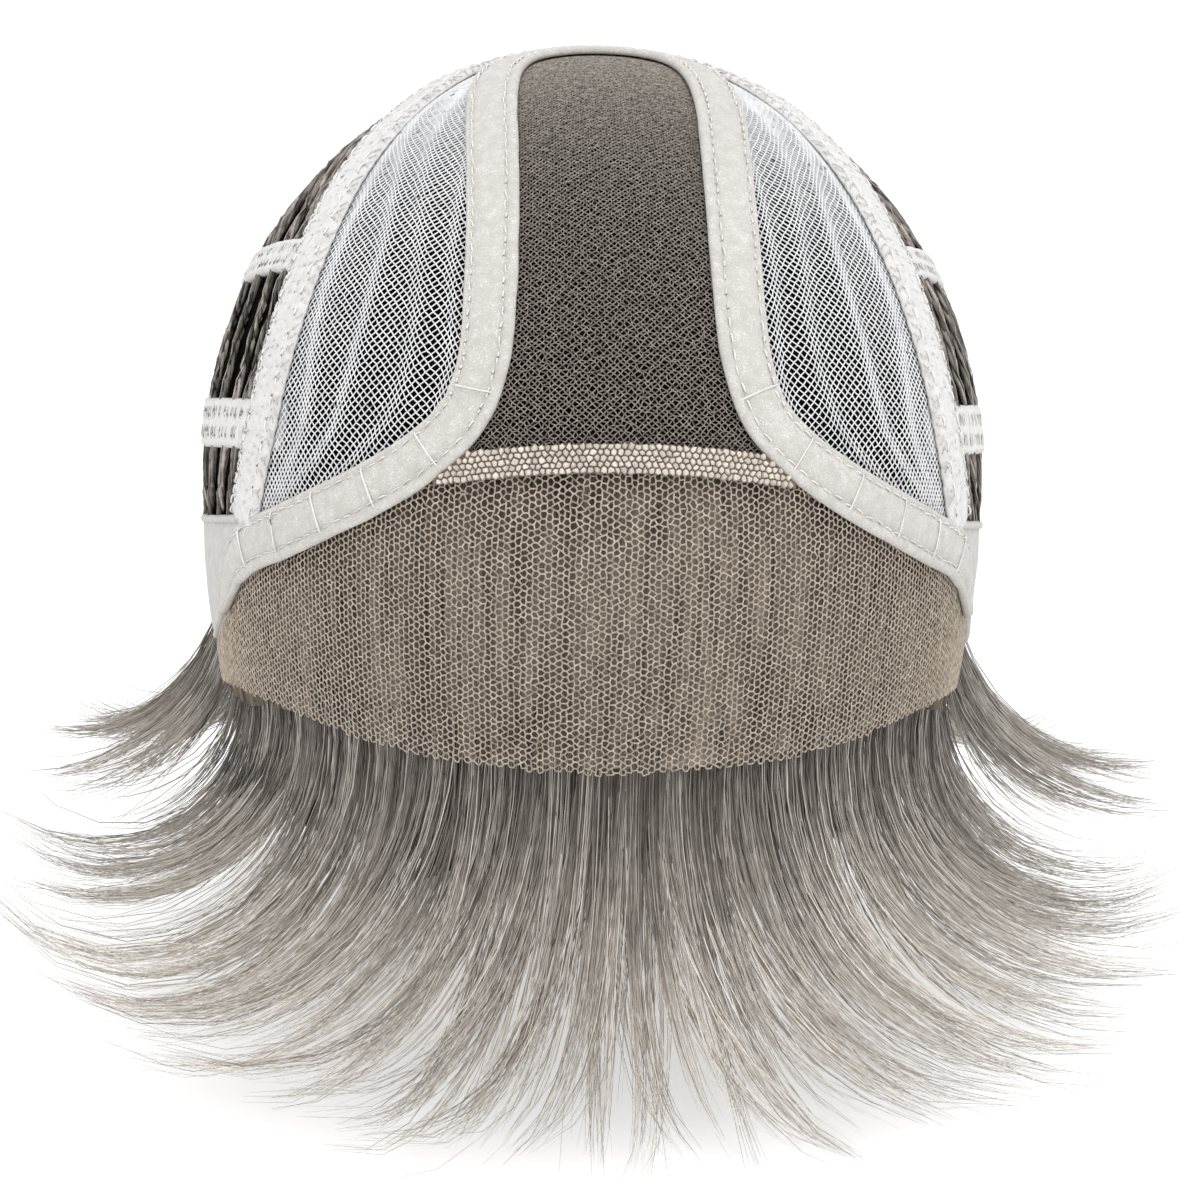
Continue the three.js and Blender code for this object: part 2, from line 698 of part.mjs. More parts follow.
// Trims of the outer layer, each cut clear of the one that covers it.
const tapeRoom = bandGeometry(tapeLine, TAPE_WIDTH + 2 * TRIM_GAP, TAPE_STEPS, CUT_LAYER);
const ribbonRoom = bandGeometry(ribbonLine, RIBBON_WIDTH + 2 * TRIM_GAP, RIBBON_STEPS, CUT_LAYER);
const ribbon = bandGeometry(ribbonLine, RIBBON_WIDTH, RIBBON_STEPS, TRIM_LAYER);
const strip = bandGeometry(stripLine, STRIP_WIDTH, STRIP_STEPS, TRIM_LAYER);
add('top_tape', bandGeometry(tapeLine, TAPE_WIDTH, TAPE_STEPS, TRIM_LAYER), 'felt');
add('crown_ribbon', cutClear(ribbon, tapeRoom), 'knit');
add('seam_strip', cutClear(strip, tapeRoom), 'strip');
addPair('strap_upper', strapGeometry(UPPER_STRAP_LINE, UPPER_STRAP_WIDTH, ribbonRoom), 'knit');
addPair('strap_lower', strapGeometry(LOWER_STRAP_LINE, LOWER_STRAP_WIDTH, ribbonRoom), 'knit');

// Wefts of the open back, then the hair.
for (let row = 0; row < WEFT_COUNT; row += 1) {
  add(`weft_${String(row + 1).padStart(2, '0')}`, weftGeometry(row), 'weft');
}
add('hair', hairGeometry(), 'hair');

export default wig;
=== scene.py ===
# %% [markdown]
# # A lace front wig, turned inside out
# A wig cap is a bowl of thin cloth panels, and the hair is tied and sewn to its outside. Here the
# cap is turned inside out, so the seams, tapes and nets face us and the hair lies inside the bowl
# and flares out under the rim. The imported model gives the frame; every piece below stands for one
# of its nodes.

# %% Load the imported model
import json
import math

import bpy
import numpy as np
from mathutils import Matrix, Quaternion, Vector

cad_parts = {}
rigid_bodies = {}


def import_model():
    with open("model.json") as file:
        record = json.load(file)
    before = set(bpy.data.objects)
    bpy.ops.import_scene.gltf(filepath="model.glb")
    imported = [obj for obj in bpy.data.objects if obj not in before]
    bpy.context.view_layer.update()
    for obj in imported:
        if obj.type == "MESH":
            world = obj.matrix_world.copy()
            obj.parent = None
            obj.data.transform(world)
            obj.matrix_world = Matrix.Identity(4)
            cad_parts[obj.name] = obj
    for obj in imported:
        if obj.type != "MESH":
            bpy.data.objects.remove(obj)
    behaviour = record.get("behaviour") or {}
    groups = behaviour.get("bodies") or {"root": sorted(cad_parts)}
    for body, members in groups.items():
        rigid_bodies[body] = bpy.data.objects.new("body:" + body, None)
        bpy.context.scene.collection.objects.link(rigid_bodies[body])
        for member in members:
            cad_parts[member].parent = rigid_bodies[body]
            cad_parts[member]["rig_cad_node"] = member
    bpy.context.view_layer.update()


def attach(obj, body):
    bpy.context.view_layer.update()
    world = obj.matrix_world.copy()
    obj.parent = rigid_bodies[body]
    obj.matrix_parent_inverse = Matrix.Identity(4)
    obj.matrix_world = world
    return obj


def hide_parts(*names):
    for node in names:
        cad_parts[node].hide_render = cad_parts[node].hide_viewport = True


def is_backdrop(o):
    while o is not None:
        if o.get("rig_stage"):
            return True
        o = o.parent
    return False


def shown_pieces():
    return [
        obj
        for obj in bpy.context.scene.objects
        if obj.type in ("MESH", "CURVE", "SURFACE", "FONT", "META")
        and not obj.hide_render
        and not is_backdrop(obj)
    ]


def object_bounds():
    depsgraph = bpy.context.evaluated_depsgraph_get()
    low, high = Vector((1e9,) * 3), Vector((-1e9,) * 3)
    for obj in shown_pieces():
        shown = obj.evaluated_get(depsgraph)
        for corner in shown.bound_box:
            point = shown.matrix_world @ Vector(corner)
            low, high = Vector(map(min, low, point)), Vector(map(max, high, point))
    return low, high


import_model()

MM = 0.001
BODY = "root"

# %% [markdown]
# ## Camera and light
# The photograph looks at the front of the cap from a little above. A long lens from about a metre
# away keeps the bowl from bulging. The light is a bright, even studio: a white world that fills every
# shadow, one broad lamp in front and one above.

# %% Camera
CROWN_HEIGHT = 84.3
VIEW_TURN = math.radians(-3.0)
VIEW_ROLL = math.radians(1.2)
VIEW_RISE = math.radians(15.0)
VIEW_DISTANCE = 900.0
VIEW_AIM = Vector((2.3, 0.0, -28.9 - CROWN_HEIGHT))
LENS_MM = 128.3

view_back = Vector((
    math.sin(VIEW_TURN) * math.cos(VIEW_RISE),
    -math.cos(VIEW_TURN) * math.cos(VIEW_RISE),
    math.sin(VIEW_RISE),
))
bpy.ops.object.camera_add(location=(VIEW_AIM + view_back * VIEW_DISTANCE) * MM)
camera = bpy.context.object
level = view_back.to_track_quat("Z", "Y")
camera.rotation_euler = (level @ Quaternion((0, 0, 1), VIEW_ROLL)).to_euler()
camera.data.lens = LENS_MM
camera.data.sensor_width = 36.0
camera.data.clip_start = 0.02
bpy.context.scene.camera = camera
print("camera at", tuple(round(x, 3) for x in camera.location))

# %% Studio light
def soft_lamp(name, place, aim, size, power):
    """A square lamp that looks at a point."""
    bpy.ops.object.light_add(type="AREA", location=place)
    lamp = bpy.context.object
    lamp.name = name
    lamp.data.size = size
    lamp.data.energy = power
    lamp.rotation_euler = (Vector(place) - Vector(aim)).to_track_quat("Z", "Y").to_euler()


soft_lamp("front_lamp", (-0.5, -1.3, 0.7), (0, 0, -0.08), 0.9, 3)
soft_lamp("top_lamp", (0.3, -0.3, 1.2), (0, 0, -0.08), 1.0, 7)
world = bpy.data.worlds.new("studio")
world.use_nodes = True
world.node_tree.nodes["Background"].inputs["Color"].default_value = (1, 1, 1, 1)
world.node_tree.nodes["Background"].inputs["Strength"].default_value = 1.0
bpy.context.scene.world = world
bpy.context.scene.view_settings.view_transform = "Standard"

# %% [markdown]
# ## The form of the cap
# Every panel lies on one bowl: half an egg above the widest level, slightly drawn in below it. The
# lines of the pattern are written the way a wig maker would mark them, in millimetres: how far to
# the side and how far up over the head from the front, or the bearing round the head and the height.
# Points are worked out in numpy, thousands at a time, and go into the meshes in metres.

# %% Cap surface
CAP_HALF_WIDTH = 80.0
CAP_HALF_LENGTH = 98.0
TUCK = 0.04 / 42.0 ** 2


def on_cap(points):
    """Points of the cap's inner face, seen from the middle of its widest level."""
    way = points / np.linalg.norm(points, axis=-1, keepdims=True)
    flat = np.hypot(way[..., 0] / CAP_HALF_WIDTH, way[..., 1] / CAP_HALF_LENGTH)
    dome = 1 / np.sqrt(flat ** 2 + (way[..., 2] / CROWN_HEIGHT) ** 2)
    drop = TUCK * way[..., 2] ** 2 + 1e-12
    wall = (np.sqrt(flat ** 2 + 4 * drop) - flat) / (2 * drop)
    return way * np.where(way[..., 2] >= 0, dome, wall)[..., None]


def cap_normal(points):
    """Outward direction of the cap at its points."""
    height = points[..., 2]
    wall = 2 * TUCK * height * (1 - TUCK * height ** 2)
    slope = np.where(height >= 0, height / CROWN_HEIGHT ** 2, wall)
    normal = np.stack([
        points[..., 0] / CAP_HALF_WIDTH ** 2,
        points[..., 1] / CAP_HALF_LENGTH ** 2,
        slope,
    ], axis=-1)
    return normal / np.linalg.norm(normal, axis=-1, keepdims=True)


def lifted(points, height):
    """Points moved off the cap's inner face."""
    return points + cap_normal(points) * np.asarray(height)[..., None]


def crown_point(side, pitch):
    """Points a given way sideways, in a plane tilted up from the front by the pitch in degrees."""
    side, pitch = np.broadcast_arrays(np.asarray(side, float), np.radians(np.asarray(pitch, float)))
    rest = np.clip(1 - (side / CAP_HALF_WIDTH) ** 2, 1e-6, 1)
    rise = np.sin(pitch) ** 2
    run = np.cos(pitch) ** 2 / CAP_HALF_LENGTH ** 2
    above = np.sqrt(rest / (run + rise / CROWN_HEIGHT ** 2))
    lean = 2 * TUCK * rise + run
    square = np.maximum(TUCK ** 2 * rise ** 2, 1e-18)
    below = np.sqrt((lean - np.sqrt(np.maximum(lean ** 2 - 4 * square * rest, 0))) / (2 * square))
    reach = np.where(np.sin(pitch) >= 0, above, below)
    return np.stack([side, -reach * np.cos(pitch), reach * np.sin(pitch)], axis=-1)


def wall_point(bearing, height):
    """Points at a height, at a bearing from the front toward +X in degrees."""
    bearing, height = np.broadcast_arrays(np.radians(np.asarray(bearing, float)), np.asarray(height, float))
    dome = np.sqrt(np.clip(1 - (height / CROWN_HEIGHT) ** 2, 0, 1))
    size = np.where(height < 0, 1 - TUCK * height ** 2, dome)
    return np.stack([
        CAP_HALF_WIDTH * size * np.sin(bearing),
        -CAP_HALF_LENGTH * size * np.cos(bearing),
        height,
    ], axis=-1)


print("crown", on_cap(np.array([0.0, 0.0, 1.0])), "front", on_cap(np.array([0.0, -1.0, 0.0])))

# %% Pattern lines
# Each row of a line: side in mm, degrees up from the front.
TAPE_LINE = [
    (0, 98.6), (9, 97.6), (16.2, 93.6), (20, 86.5), (22, 74), (22.3, 58), (22.5, 45), (23.1, 33.5),
    (24.4, 25.2), (28.2, 18.8), (36.2, 13.9), (45.5, 9.7), (54.5, 5.6), (62.4, 0.6), (68.2, -5), (71.2, -12),
]
RIBBON_LINE = [
    (0, 107.6), (12, 106), (23, 100.6), (33.6, 91), (43.3, 79.5), (50.6, 68), (56.2, 55.5), (60.3, 44),
    (63.5, 33), (65.8, 22.5), (67.6, 13), (69, 4),
]
STRIP_LINE = [(0, 14.0), (12, 13.8), (24, 13.2), (36, 12.2)]
# Each row of the lace: bearing, hairline height, seam height.
LACE_SECTIONS = np.array([
    (0, -37.8, 23.3), (15, -37.6, 22.2), (26, -37.2, 18.6), (31, -37.0, 15.8), (37, -36.6, 11),
    (44.5, -36.2, 4.8), (52, -36.0, -1.6), (59, -36.6, -7.5), (64.5, -37.6, -14), (70, -39, -22),
    (76, -41, -29), (81, -43, -33.5),
])
# Each row of the ear tabs and the nape band: bearing, rim height, top height.
BAND_SECTIONS = np.array([
    (50, -33.5, -5), (59, -33.5, 0.8), (90, -33.5, -11.7), (112, -34.5, -13), (140, -37.5, -18),
    (180, -40, -25),
])
CURVE_STEPS = 24


def runs_of(line):
    """How far along a line each of its points is."""
    return np.concatenate([[0], np.cumsum(np.linalg.norm(np.diff(line, axis=0), axis=1))])


def even_points(points, count):
    """A polyline's points, spread evenly along it."""
    run = runs_of(points)
    at = np.linspace(0, run[-1], count)
    return np.stack([np.interp(at, run, points[:, k]) for k in range(3)], axis=1)


def cap_line(points, spacing):
    """A smooth line on the cap through a few points, as evenly spaced points."""
    padded = np.concatenate([[2 * points[0] - points[1]], points, [2 * points[-1] - points[-2]]])
    share = np.linspace(0, 1, CURVE_STEPS, endpoint=False)[:, None]
    pieces = []
    for a, b, c, d in zip(padded, padded[1:], padded[2:], padded[3:]):
        cubic = (3 * b - a - 3 * c + d) * share ** 3
        square = (2 * a - 5 * b + 4 * c - d) * share ** 2
        pieces.append(b + 0.5 * (cubic + square + (c - a) * share))
    line = on_cap(np.concatenate(pieces + [points[-1:]]))
    length = np.linalg.norm(np.diff(line, axis=0), axis=1).sum()
    return on_cap(even_points(line, max(int(length / spacing), 2) + 1))


def arch_line(table, spacing):
    """A line from the left end over the crown to the right end, from the rows of its right half."""
    rows = np.array(table, float)
    right = crown_point(rows[:, 0], rows[:, 1])
    left = right[:0:-1] * (-1, 1, 1)
    return cap_line(np.concatenate([left, right]), spacing)


def length_of(line):
    return float(np.linalg.norm(np.diff(line, axis=0), axis=1).sum())


def side_of(table, pitch):
    """How far to the side a line runs at a given pitch."""
    rows = np.array(table, float)[::-1]
    return np.interp(pitch, rows[:, 1], rows[:, 0])


def pitch_of(points):
    return np.degrees(np.arctan2(points[..., 2], -points[..., 1]))


def bearing_of(points):
    return np.degrees(np.arctan2(points[..., 0] / CAP_HALF_WIDTH, -points[..., 1] / CAP_HALF_LENGTH))


def section(table, column, bearing):
    """A column of a table of sections at a bearing on either side."""
    return np.interp(np.abs(bearing), table[:, 0], table[:, column])


for name, table in (("tape", TAPE_LINE), ("ribbon", RIBBON_LINE)):
    print(name, round(length_of(arch_line(table, 1))), "mm long")

# %% [markdown]
# ## Tools for cloth and thread
# Three helpers make almost everything. One turns arrays of points and faces into an object, with a
# colour for each point where that is wanted. One sweeps a cross-section along a line of the cap, for
# tapes and ribbons. One makes many thin tubes at once, for stitches, wefts and strands of hair. A
# little value noise keeps the cloth from looking machined.

# %% Mesh helpers
SEED = 7
NOISE_VALUES = 4096
NOISE_PRIMES = (73, 1009, 31013)
dice = np.random.default_rng(SEED)


def new_piece(name, points, faces, colours=None):
    """A mesh object from points in mm and equal-sided faces, with a colour for each point."""
    mesh = bpy.data.meshes.new(name)
    points = np.asarray(points, float).reshape(-1, 3)
    placed = (points - (0, 0, CROWN_HEIGHT)) * MM
    corners = [np.asarray(part, np.int32) for part in faces if len(part)]
    loops = np.concatenate([part.ravel() for part in corners])
    totals = np.concatenate([np.full(len(part), part.shape[1], np.int32) for part in corners])
    starts = np.concatenate([[0], np.cumsum(totals)[:-1]]).astype(np.int32)
    mesh.vertices.add(len(placed))
    mesh.vertices.foreach_set("co", placed.astype(np.float32).ravel())
    mesh.loops.add(len(loops))
    mesh.loops.foreach_set("vertex_index", loops)
    mesh.polygons.add(len(totals))
    mesh.polygons.foreach_set("loop_start", starts)
    mesh.polygons.foreach_set("loop_total", totals)
    mesh.update(calc_edges=True)
    if colours is not None:
        layer = mesh.color_attributes.new("tint", "FLOAT_COLOR", "POINT")
        rgba = np.concatenate([np.asarray(colours, float).reshape(-1, 3), np.ones((len(placed), 1))], axis=1)
        layer.data.foreach_set("color", rgba.astype(np.float32).ravel())
    piece = bpy.data.objects.new(name, mesh)
    bpy.context.collection.objects.link(piece)
    return piece


def pick(piece):
    """Make one object the only selected and the active one."""
    bpy.ops.object.select_all(action="DESELECT")
    piece.select_set(True)
    bpy.context.view_layer.objects.active = piece


def triangles(piece):
    return sum(len(face.vertices) - 2 for face in piece.data.polygons)


def dress(piece, finish, slot, *nodes):
    """Give a piece its finish, and let it stand for its CAD nodes."""
    pick(piece)
    bpy.ops.object.shade_smooth()
    piece.data.materials.clear()
    piece.data.materials.append(finish)
    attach(piece, BODY)
    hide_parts(*nodes)
    print(piece.name, triangles(piece), "triangles")
    return piece


def ring_faces(rows, columns):
    """Quads of a grid whose columns close to a ring."""
    i, k = np.meshgrid(np.arange(rows - 1), np.arange(columns), indexing="ij")
    this = i * columns + k
    after = i * columns + (k + 1) % columns
    return np.stack([this, after, after + columns, this + columns], -1).reshape(-1, 4)


def noise(points, size, seed):
    """Smooth value noise from -1 to 1, with features of a given size."""
    table = np.random.default_rng(seed).uniform(-1, 1, NOISE_VALUES)
    spots = np.asarray(points, float) / size
    base = np.floor(spots).astype(np.int64)
    part = spots - base
    part = part * part * (3 - 2 * part)
    total = np.zeros(spots.shape[:-1])
    for corner in np.ndindex(*(2,) * spots.shape[-1]):
        key = np.zeros(spots.shape[:-1], np.int64)
        weight = np.ones(spots.shape[:-1])
        for axis, (step, prime) in enumerate(zip(corner, NOISE_PRIMES)):
            key = key + (base[..., axis] + step) * prime
            weight = weight * (part[..., axis] if step else 1 - part[..., axis])
        total += table[key % NOISE_VALUES] * weight
    return total


print("helpers for meshes and noise, seed", SEED)

# %% Bands and tubes
STEEP = 0.9
THREAD_SIDES = 3


def band_frame(line):
    """Direction across a line, toward its right as seen from outside."""
    along = np.gradient(line, axis=0)
    across = np.cross(along, cap_normal(line))
    return across / np.linalg.norm(across, axis=1, keepdims=True)


def beside(line, offset):
    """Points of the cap beside a line."""
    return on_cap(line + band_frame(line) * np.reshape(offset, (-1, 1)))


def swept_band(name, line, offsets, heights):
    """A closed band: for each point of the line, a ring of sideways offsets and heights."""
    across = band_frame(line)
    spots = on_cap(line[:, None] + across[:, None] * offsets[..., None])
    points = lifted(spots, heights)
    rows, columns = offsets.shape
    ring = np.arange(columns)[None]
    return new_piece(name, points, [ring_faces(rows, columns), ring[:, ::-1], ring + (rows - 1) * columns])


def tubes(paths, radii, sides):
    """Points and faces of many thin tubes: paths is tubes x points x 3, radii matches it."""
    count, steps, _ = paths.shape
    along = np.gradient(paths, axis=1)
    along /= np.linalg.norm(along, axis=2, keepdims=True) + 1e-12
    guide = np.where(np.abs(along[..., 2:]) > STEEP, np.array([1.0, 0, 0]), np.array([0, 0, 1.0]))
    first = np.cross(along, guide)
    first /= np.linalg.norm(first, axis=2, keepdims=True)
    second = np.cross(along, first)
    turn = 2 * np.pi * np.arange(sides) / sides
    ring = first[:, :, None] * np.cos(turn)[:, None] + second[:, :, None] * np.sin(turn)[:, None]
    points = paths[:, :, None] + ring * radii[..., None, None]
    start = (np.arange(count) * steps * sides)[:, None]
    quads = ring_faces(steps, sides)[None] + start[..., None]
    heads = start + np.arange(sides)[::-1]
    tails = start + (steps - 1) * sides + np.arange(sides)
    return points.reshape(-1, 3), [quads.reshape(-1, 4), heads, tails]


def joined(groups):
    """One set of points and faces from several."""
    points = []
    faces = []
    start = 0
    for spots, parts in groups:
        points.append(spots)
        faces.extend(part + start for part in parts)
        start += len(spots)
    return np.concatenate(points), faces


print("a thread has", THREAD_SIDES, "sides")

# %% [markdown]
# ## Finishes
# The cloths differ in colour and in how coarse their fibre is, so one node group makes the fibre: a
# soft mottle and thin squiggles for the colour, and a fine height for the bump. Stretched upright, the
# same group gives the streaks of combed hair. Each finish places the group with its own sizes. Hair,
# wefts and the beaded seam carry their colours on the mesh, because the colour runs along each strand.
# Strands of hair also glow a little, in place of the light that passes through them.

# %% Fibre node group
FIBRE_IN_MOTTLE = 0.45
SQUIGGLE_WIDTH = 0.09


def add_node(tree, kind, **inputs):
    made = tree.nodes.new(kind)
    for name, value in inputs.items():
        made.inputs[name.replace("_", " ")].default_value = value
    return made


def fibre_group():
    """Mottle and height of tangled fibres in the object's own space; Upright below 1 draws them out."""
    group = bpy.data.node_groups.new("tangled_fibre", "ShaderNodeTree")
    for name, value in (("Fibre Size", 1500.0), ("Mottle Size", 120.0), ("Upright", 1.0)):
        socket = group.interface.new_socket(name, in_out="INPUT", socket_type="NodeSocketFloat")
        socket.default_value = value
    group.interface.new_socket("Mottle", in_out="OUTPUT", socket_type="NodeSocketFloat")
    group.interface.new_socket("Height", in_out="OUTPUT", socket_type="NodeSocketFloat")
    group.interface.new_socket("Squiggle", in_out="OUTPUT", socket_type="NodeSocketFloat")
    entry = group.nodes.new("NodeGroupInput")
    leave = group.nodes.new("NodeGroupOutput")
    place = group.nodes.new("ShaderNodeTexCoord")
    mottle = add_node(group, "ShaderNodeTexNoise", Detail=3.0, Roughness=0.6)
    fibre = add_node(group, "ShaderNodeTexNoise", Detail=2.0, Roughness=0.7, Distortion=1.6)
    blend = group.nodes.new("ShaderNodeMath")
    blend.operation = "MULTIPLY_ADD"
    blend.inputs[1].default_value = FIBRE_IN_MOTTLE
    link = group.links.new
    drawn = add_node(group, "ShaderNodeCombineXYZ", X=1.0, Y=1.0)
    stretch = group.nodes.new("ShaderNodeVectorMath")
    stretch.operation = "MULTIPLY"
    link(entry.outputs["Upright"], drawn.inputs["Z"])
    link(place.outputs["Object"], stretch.inputs[0])
    link(drawn.outputs["Vector"], stretch.inputs[1])
    link(stretch.outputs["Vector"], mottle.inputs["Vector"])
    link(stretch.outputs["Vector"], fibre.inputs["Vector"])
    link(entry.outputs["Mottle Size"], mottle.inputs["Scale"])
    link(entry.outputs["Fibre Size"], fibre.inputs["Scale"])
    link(fibre.outputs["Fac"], blend.inputs[0])
    link(mottle.outputs["Fac"], blend.inputs[2])
    link(blend.outputs["Value"], leave.inputs["Mottle"])
    link(fibre.outputs["Fac"], leave.inputs["Height"])
    away = group.nodes.new("ShaderNodeMath")
    away.operation = "SUBTRACT"
    away.inputs[1].default_value = 0.5
    line = group.nodes.new("ShaderNodeMath")
    line.operation = "ABSOLUTE"
    worm = add_node(group, "ShaderNodeMapRange", From_Max=SQUIGGLE_WIDTH, To_Min=1.0, To_Max=0.0)
    link(fibre.outputs["Fac"], away.inputs[0])
    link(away.outputs["Value"], line.inputs[0])
    link(line.outputs["Value"], worm.inputs["Value"])
    link(worm.outputs["Result"], leave.inputs["Squiggle"])
    return group


FIBRE = fibre_group()
print("fibre group of", len(FIBRE.nodes), "nodes")

# %% Cloth finishes
RAMP_DARK = 0.45
RAMP_LIGHT = 0.95
BUMP_DEPTH = 0.0003


def linear(colour):
    """A screen colour, 0 to 255, as the renderer counts light."""
    share = np.asarray(colour, float) / 255
    return np.where(share <= 0.04045, share / 12.92, ((share + 0.055) / 1.055) ** 2.4)


def cloth(name, light, dark, fibre, mottle, bump, roughness=0.85, sheen=0.25, tinted=False, squiggle=0.0,
          upright=1.0, glow=0.0, shine=0.25):
    """A fibrous finish between a light and a dark screen colour; glow is light that passes through."""
    finish = bpy.data.materials.new(name)
    finish.use_nodes = True
    tree = finish.node_tree
    link = tree.links.new
    skin = tree.nodes["Principled BSDF"]
    skin.inputs["Roughness"].default_value = roughness
    skin.inputs["Sheen Weight"].default_value = sheen
    skin.inputs["Sheen Roughness"].default_value = 0.5
    skin.inputs["Specular IOR Level"].default_value = shine
    skin.inputs["Emission Strength"].default_value = glow
    grain = add_node(tree, "ShaderNodeGroup")
    grain.node_tree = FIBRE
    grain.inputs["Fibre Size"].default_value = fibre
    grain.inputs["Mottle Size"].default_value = mottle
    grain.inputs["Upright"].default_value = upright
    ramp = tree.nodes.new("ShaderNodeValToRGB")
    ramp.color_ramp.elements[0].position = RAMP_DARK
    ramp.color_ramp.elements[0].color = (*linear(dark), 1)
    ramp.color_ramp.elements[1].position = RAMP_LIGHT
    ramp.color_ramp.elements[1].color = (*linear(light), 1)
    worn = tree.nodes.new("ShaderNodeMath")
    worn.operation = "MULTIPLY_ADD"
    worn.inputs[1].default_value = -squiggle
    link(grain.outputs["Squiggle"], worn.inputs[0])
    link(grain.outputs["Mottle"], worn.inputs[2])
    link(worn.outputs["Value"], ramp.inputs["Fac"])
    colour = ramp.outputs["Color"]
    if tinted:
        tint = tree.nodes.new("ShaderNodeVertexColor")
        tint.layer_name = "tint"
        mix = tree.nodes.new("ShaderNodeMix")
        mix.data_type = "RGBA"
        mix.blend_type = "MULTIPLY"
        mix.inputs["Factor"].default_value = 1.0
        link(tint.outputs["Color"], mix.inputs["A"])
        link(ramp.outputs["Color"], mix.inputs["B"])
        colour = mix.outputs["Result"]
    link(colour, skin.inputs["Base Color"])
    link(colour, skin.inputs["Emission Color"])
    relief = add_node(tree, "ShaderNodeBump", Strength=bump, Distance=BUMP_DEPTH)
    link(grain.outputs["Height"], relief.inputs["Height"])
    link(relief.outputs["Normal"], skin.inputs["Normal"])
    return finish


LACE_THREAD = cloth("lace_thread", (208, 195, 179), (126, 115, 103), 2500, 700, 0.3, sheen=0.05, shine=0.15)
# Mono thread: its mottle runs from dark thread to bright spots, partly the thread's own tone and partly
# painted glints.
MONO_THREAD = cloth("mono_thread", (178, 169, 160), (46, 41, 37), 2500, 1300, 0.3, sheen=0.0, shine=0.15)
MESH_THREAD = cloth("mesh_thread", (246, 246, 247), (222, 223, 225), 2500, 200, 0.3)
FELT = cloth("binding_felt", (241, 239, 236), (198, 194, 188), 2400, 420, 0.9, squiggle=0.75)
KNIT = cloth("elastic_knit", (226, 225, 224), (202, 201, 200), 1600, 500, 0.4, squiggle=0.2)
STITCH = cloth("stitch_thread", (250, 249, 246), (224, 221, 217), 3000, 300, 0.4)
WEFT_CORD = cloth("weft_cord", (255, 255, 255), (180, 178, 175), 2200, 600, 0.6, 0.6, 0.0, tinted=True)
SEAM_TAPE = cloth("seam_underside", (134, 116, 102), (104, 88, 76), 2500, 500, 0.3)
TAB_CLOTH = cloth("gusset_cloth", (210, 208, 205), (184, 181, 178), 2200, 500, 0.6, squiggle=0.25)
HAIR_FLAT = cloth("hair_lying_flat", (255, 255, 255), (92, 86, 80), 1500, 420, 0.5, 1.0, 0.0, tinted=True,
                  upright=0.07, shine=0.0)
HAIR_STRAND = cloth("hair_strand", (255, 255, 255), (215, 212, 209), 1200, 300, 0.1, 0.42, 0.1,
                    tinted=True, glow=0.12)
BEADED = cloth("beaded_seam", (255, 255, 255), (226, 222, 216), 2500, 500, 0.3, 0.6, 0.2, tinted=True)
print("finishes:", [m.name for m in bpy.data.materials if m.users])

# %% [markdown]
# ## Nets
# The lace front is a soft hexagonal net, the top panel a finer diamond net of monofilament, and the
# side panels a coarser white net. A net could be a texture with holes, but real threads catch the
# light and show the hair behind them. So each net starts as a sheet of flat cells laid over the cap,
# a little uneven, and the Wireframe modifier turns the edges of the cells into threads.

# %% Cells of a net
SAME_POINT = 0.01


def merged_cells(corners, face_sides):
    """Shared points and faces from cells that repeat their corners."""
    keys = np.round(corners / SAME_POINT).astype(np.int64)
    _, first, back = np.unique(keys, axis=0, return_index=True, return_inverse=True)
    return corners[first], back.reshape(-1, face_sides)


def hex_cells(width, height, pitch):
    """Corners and cells of a hexagonal net that fills a rectangle about the origin."""
    edge = pitch / math.sqrt(3)
    rows = int(height / (1.5 * edge)) + 2
    columns = int(width / pitch) + 2
    j, i = np.meshgrid(np.arange(rows) - rows // 2, np.arange(columns) - columns // 2, indexing="ij")
    middle = np.stack([(i + 0.5 * (j % 2)) * pitch, j * 1.5 * edge], -1).reshape(-1, 1, 2)
    turn = np.pi / 6 + np.pi / 3 * np.arange(6)
    ring = edge * np.stack([np.cos(turn), np.sin(turn)], -1)
    return merged_cells((middle + ring).reshape(-1, 2), 6)


def diamond_cells(width, height, across, up):
    """Corners and cells of a diamond net that fills a rectangle about the origin."""
    rows = int(height / (0.5 * up)) + 2
    columns = int(width / across) + 2
    j, i = np.meshgrid(np.arange(rows) - rows // 2, np.arange(columns) - columns // 2, indexing="ij")
    middle = np.stack([(i + 0.5 * (j % 2)) * across, j * 0.5 * up], -1).reshape(-1, 1, 2)
    ring = np.array([(across / 2, 0), (0, up / 2), (-across / 2, 0), (0, -up / 2)])
    return merged_cells((middle + ring).reshape(-1, 2), 4)


def cell_middles(spots, cells):
    return spots[cells].mean(axis=1)


def net_piece(name, spots, cells, thread, height):
    """Threads along the edges of a net's cells, and the area that the net covers."""
    used, renamed = np.unique(cells, return_inverse=True)
    rise = np.broadcast_to(height, len(spots))[used]
    piece = new_piece(name, lifted(spots[used], rise), [renamed.reshape(cells.shape)])
    area = sum(face.area for face in piece.data.polygons)
    pick(piece)
    bpy.ops.object.modifier_add(type="WIREFRAME")
    wire = piece.modifiers[-1]
    wire.thickness = thread * MM
    wire.use_boundary = True
    wire.use_even_offset = False
    bpy.ops.object.modifier_apply(modifier=wire.name)
    return piece, area


print("a hexagonal net 10 mm square has", len(hex_cells(10.0, 10.0, 1.0)[1]), "cells")

# %% Lace front
LACE_PITCH = 1.32
LACE_THREAD_WIDTH = 0.40
LACE_JITTER = 0.13
LACE_LIFT = 0.5
LACE_BOX = (250.0, 72.0)
LACE_MIDDLE = -8.0
LACE_SEAM_ROOM = 0.4


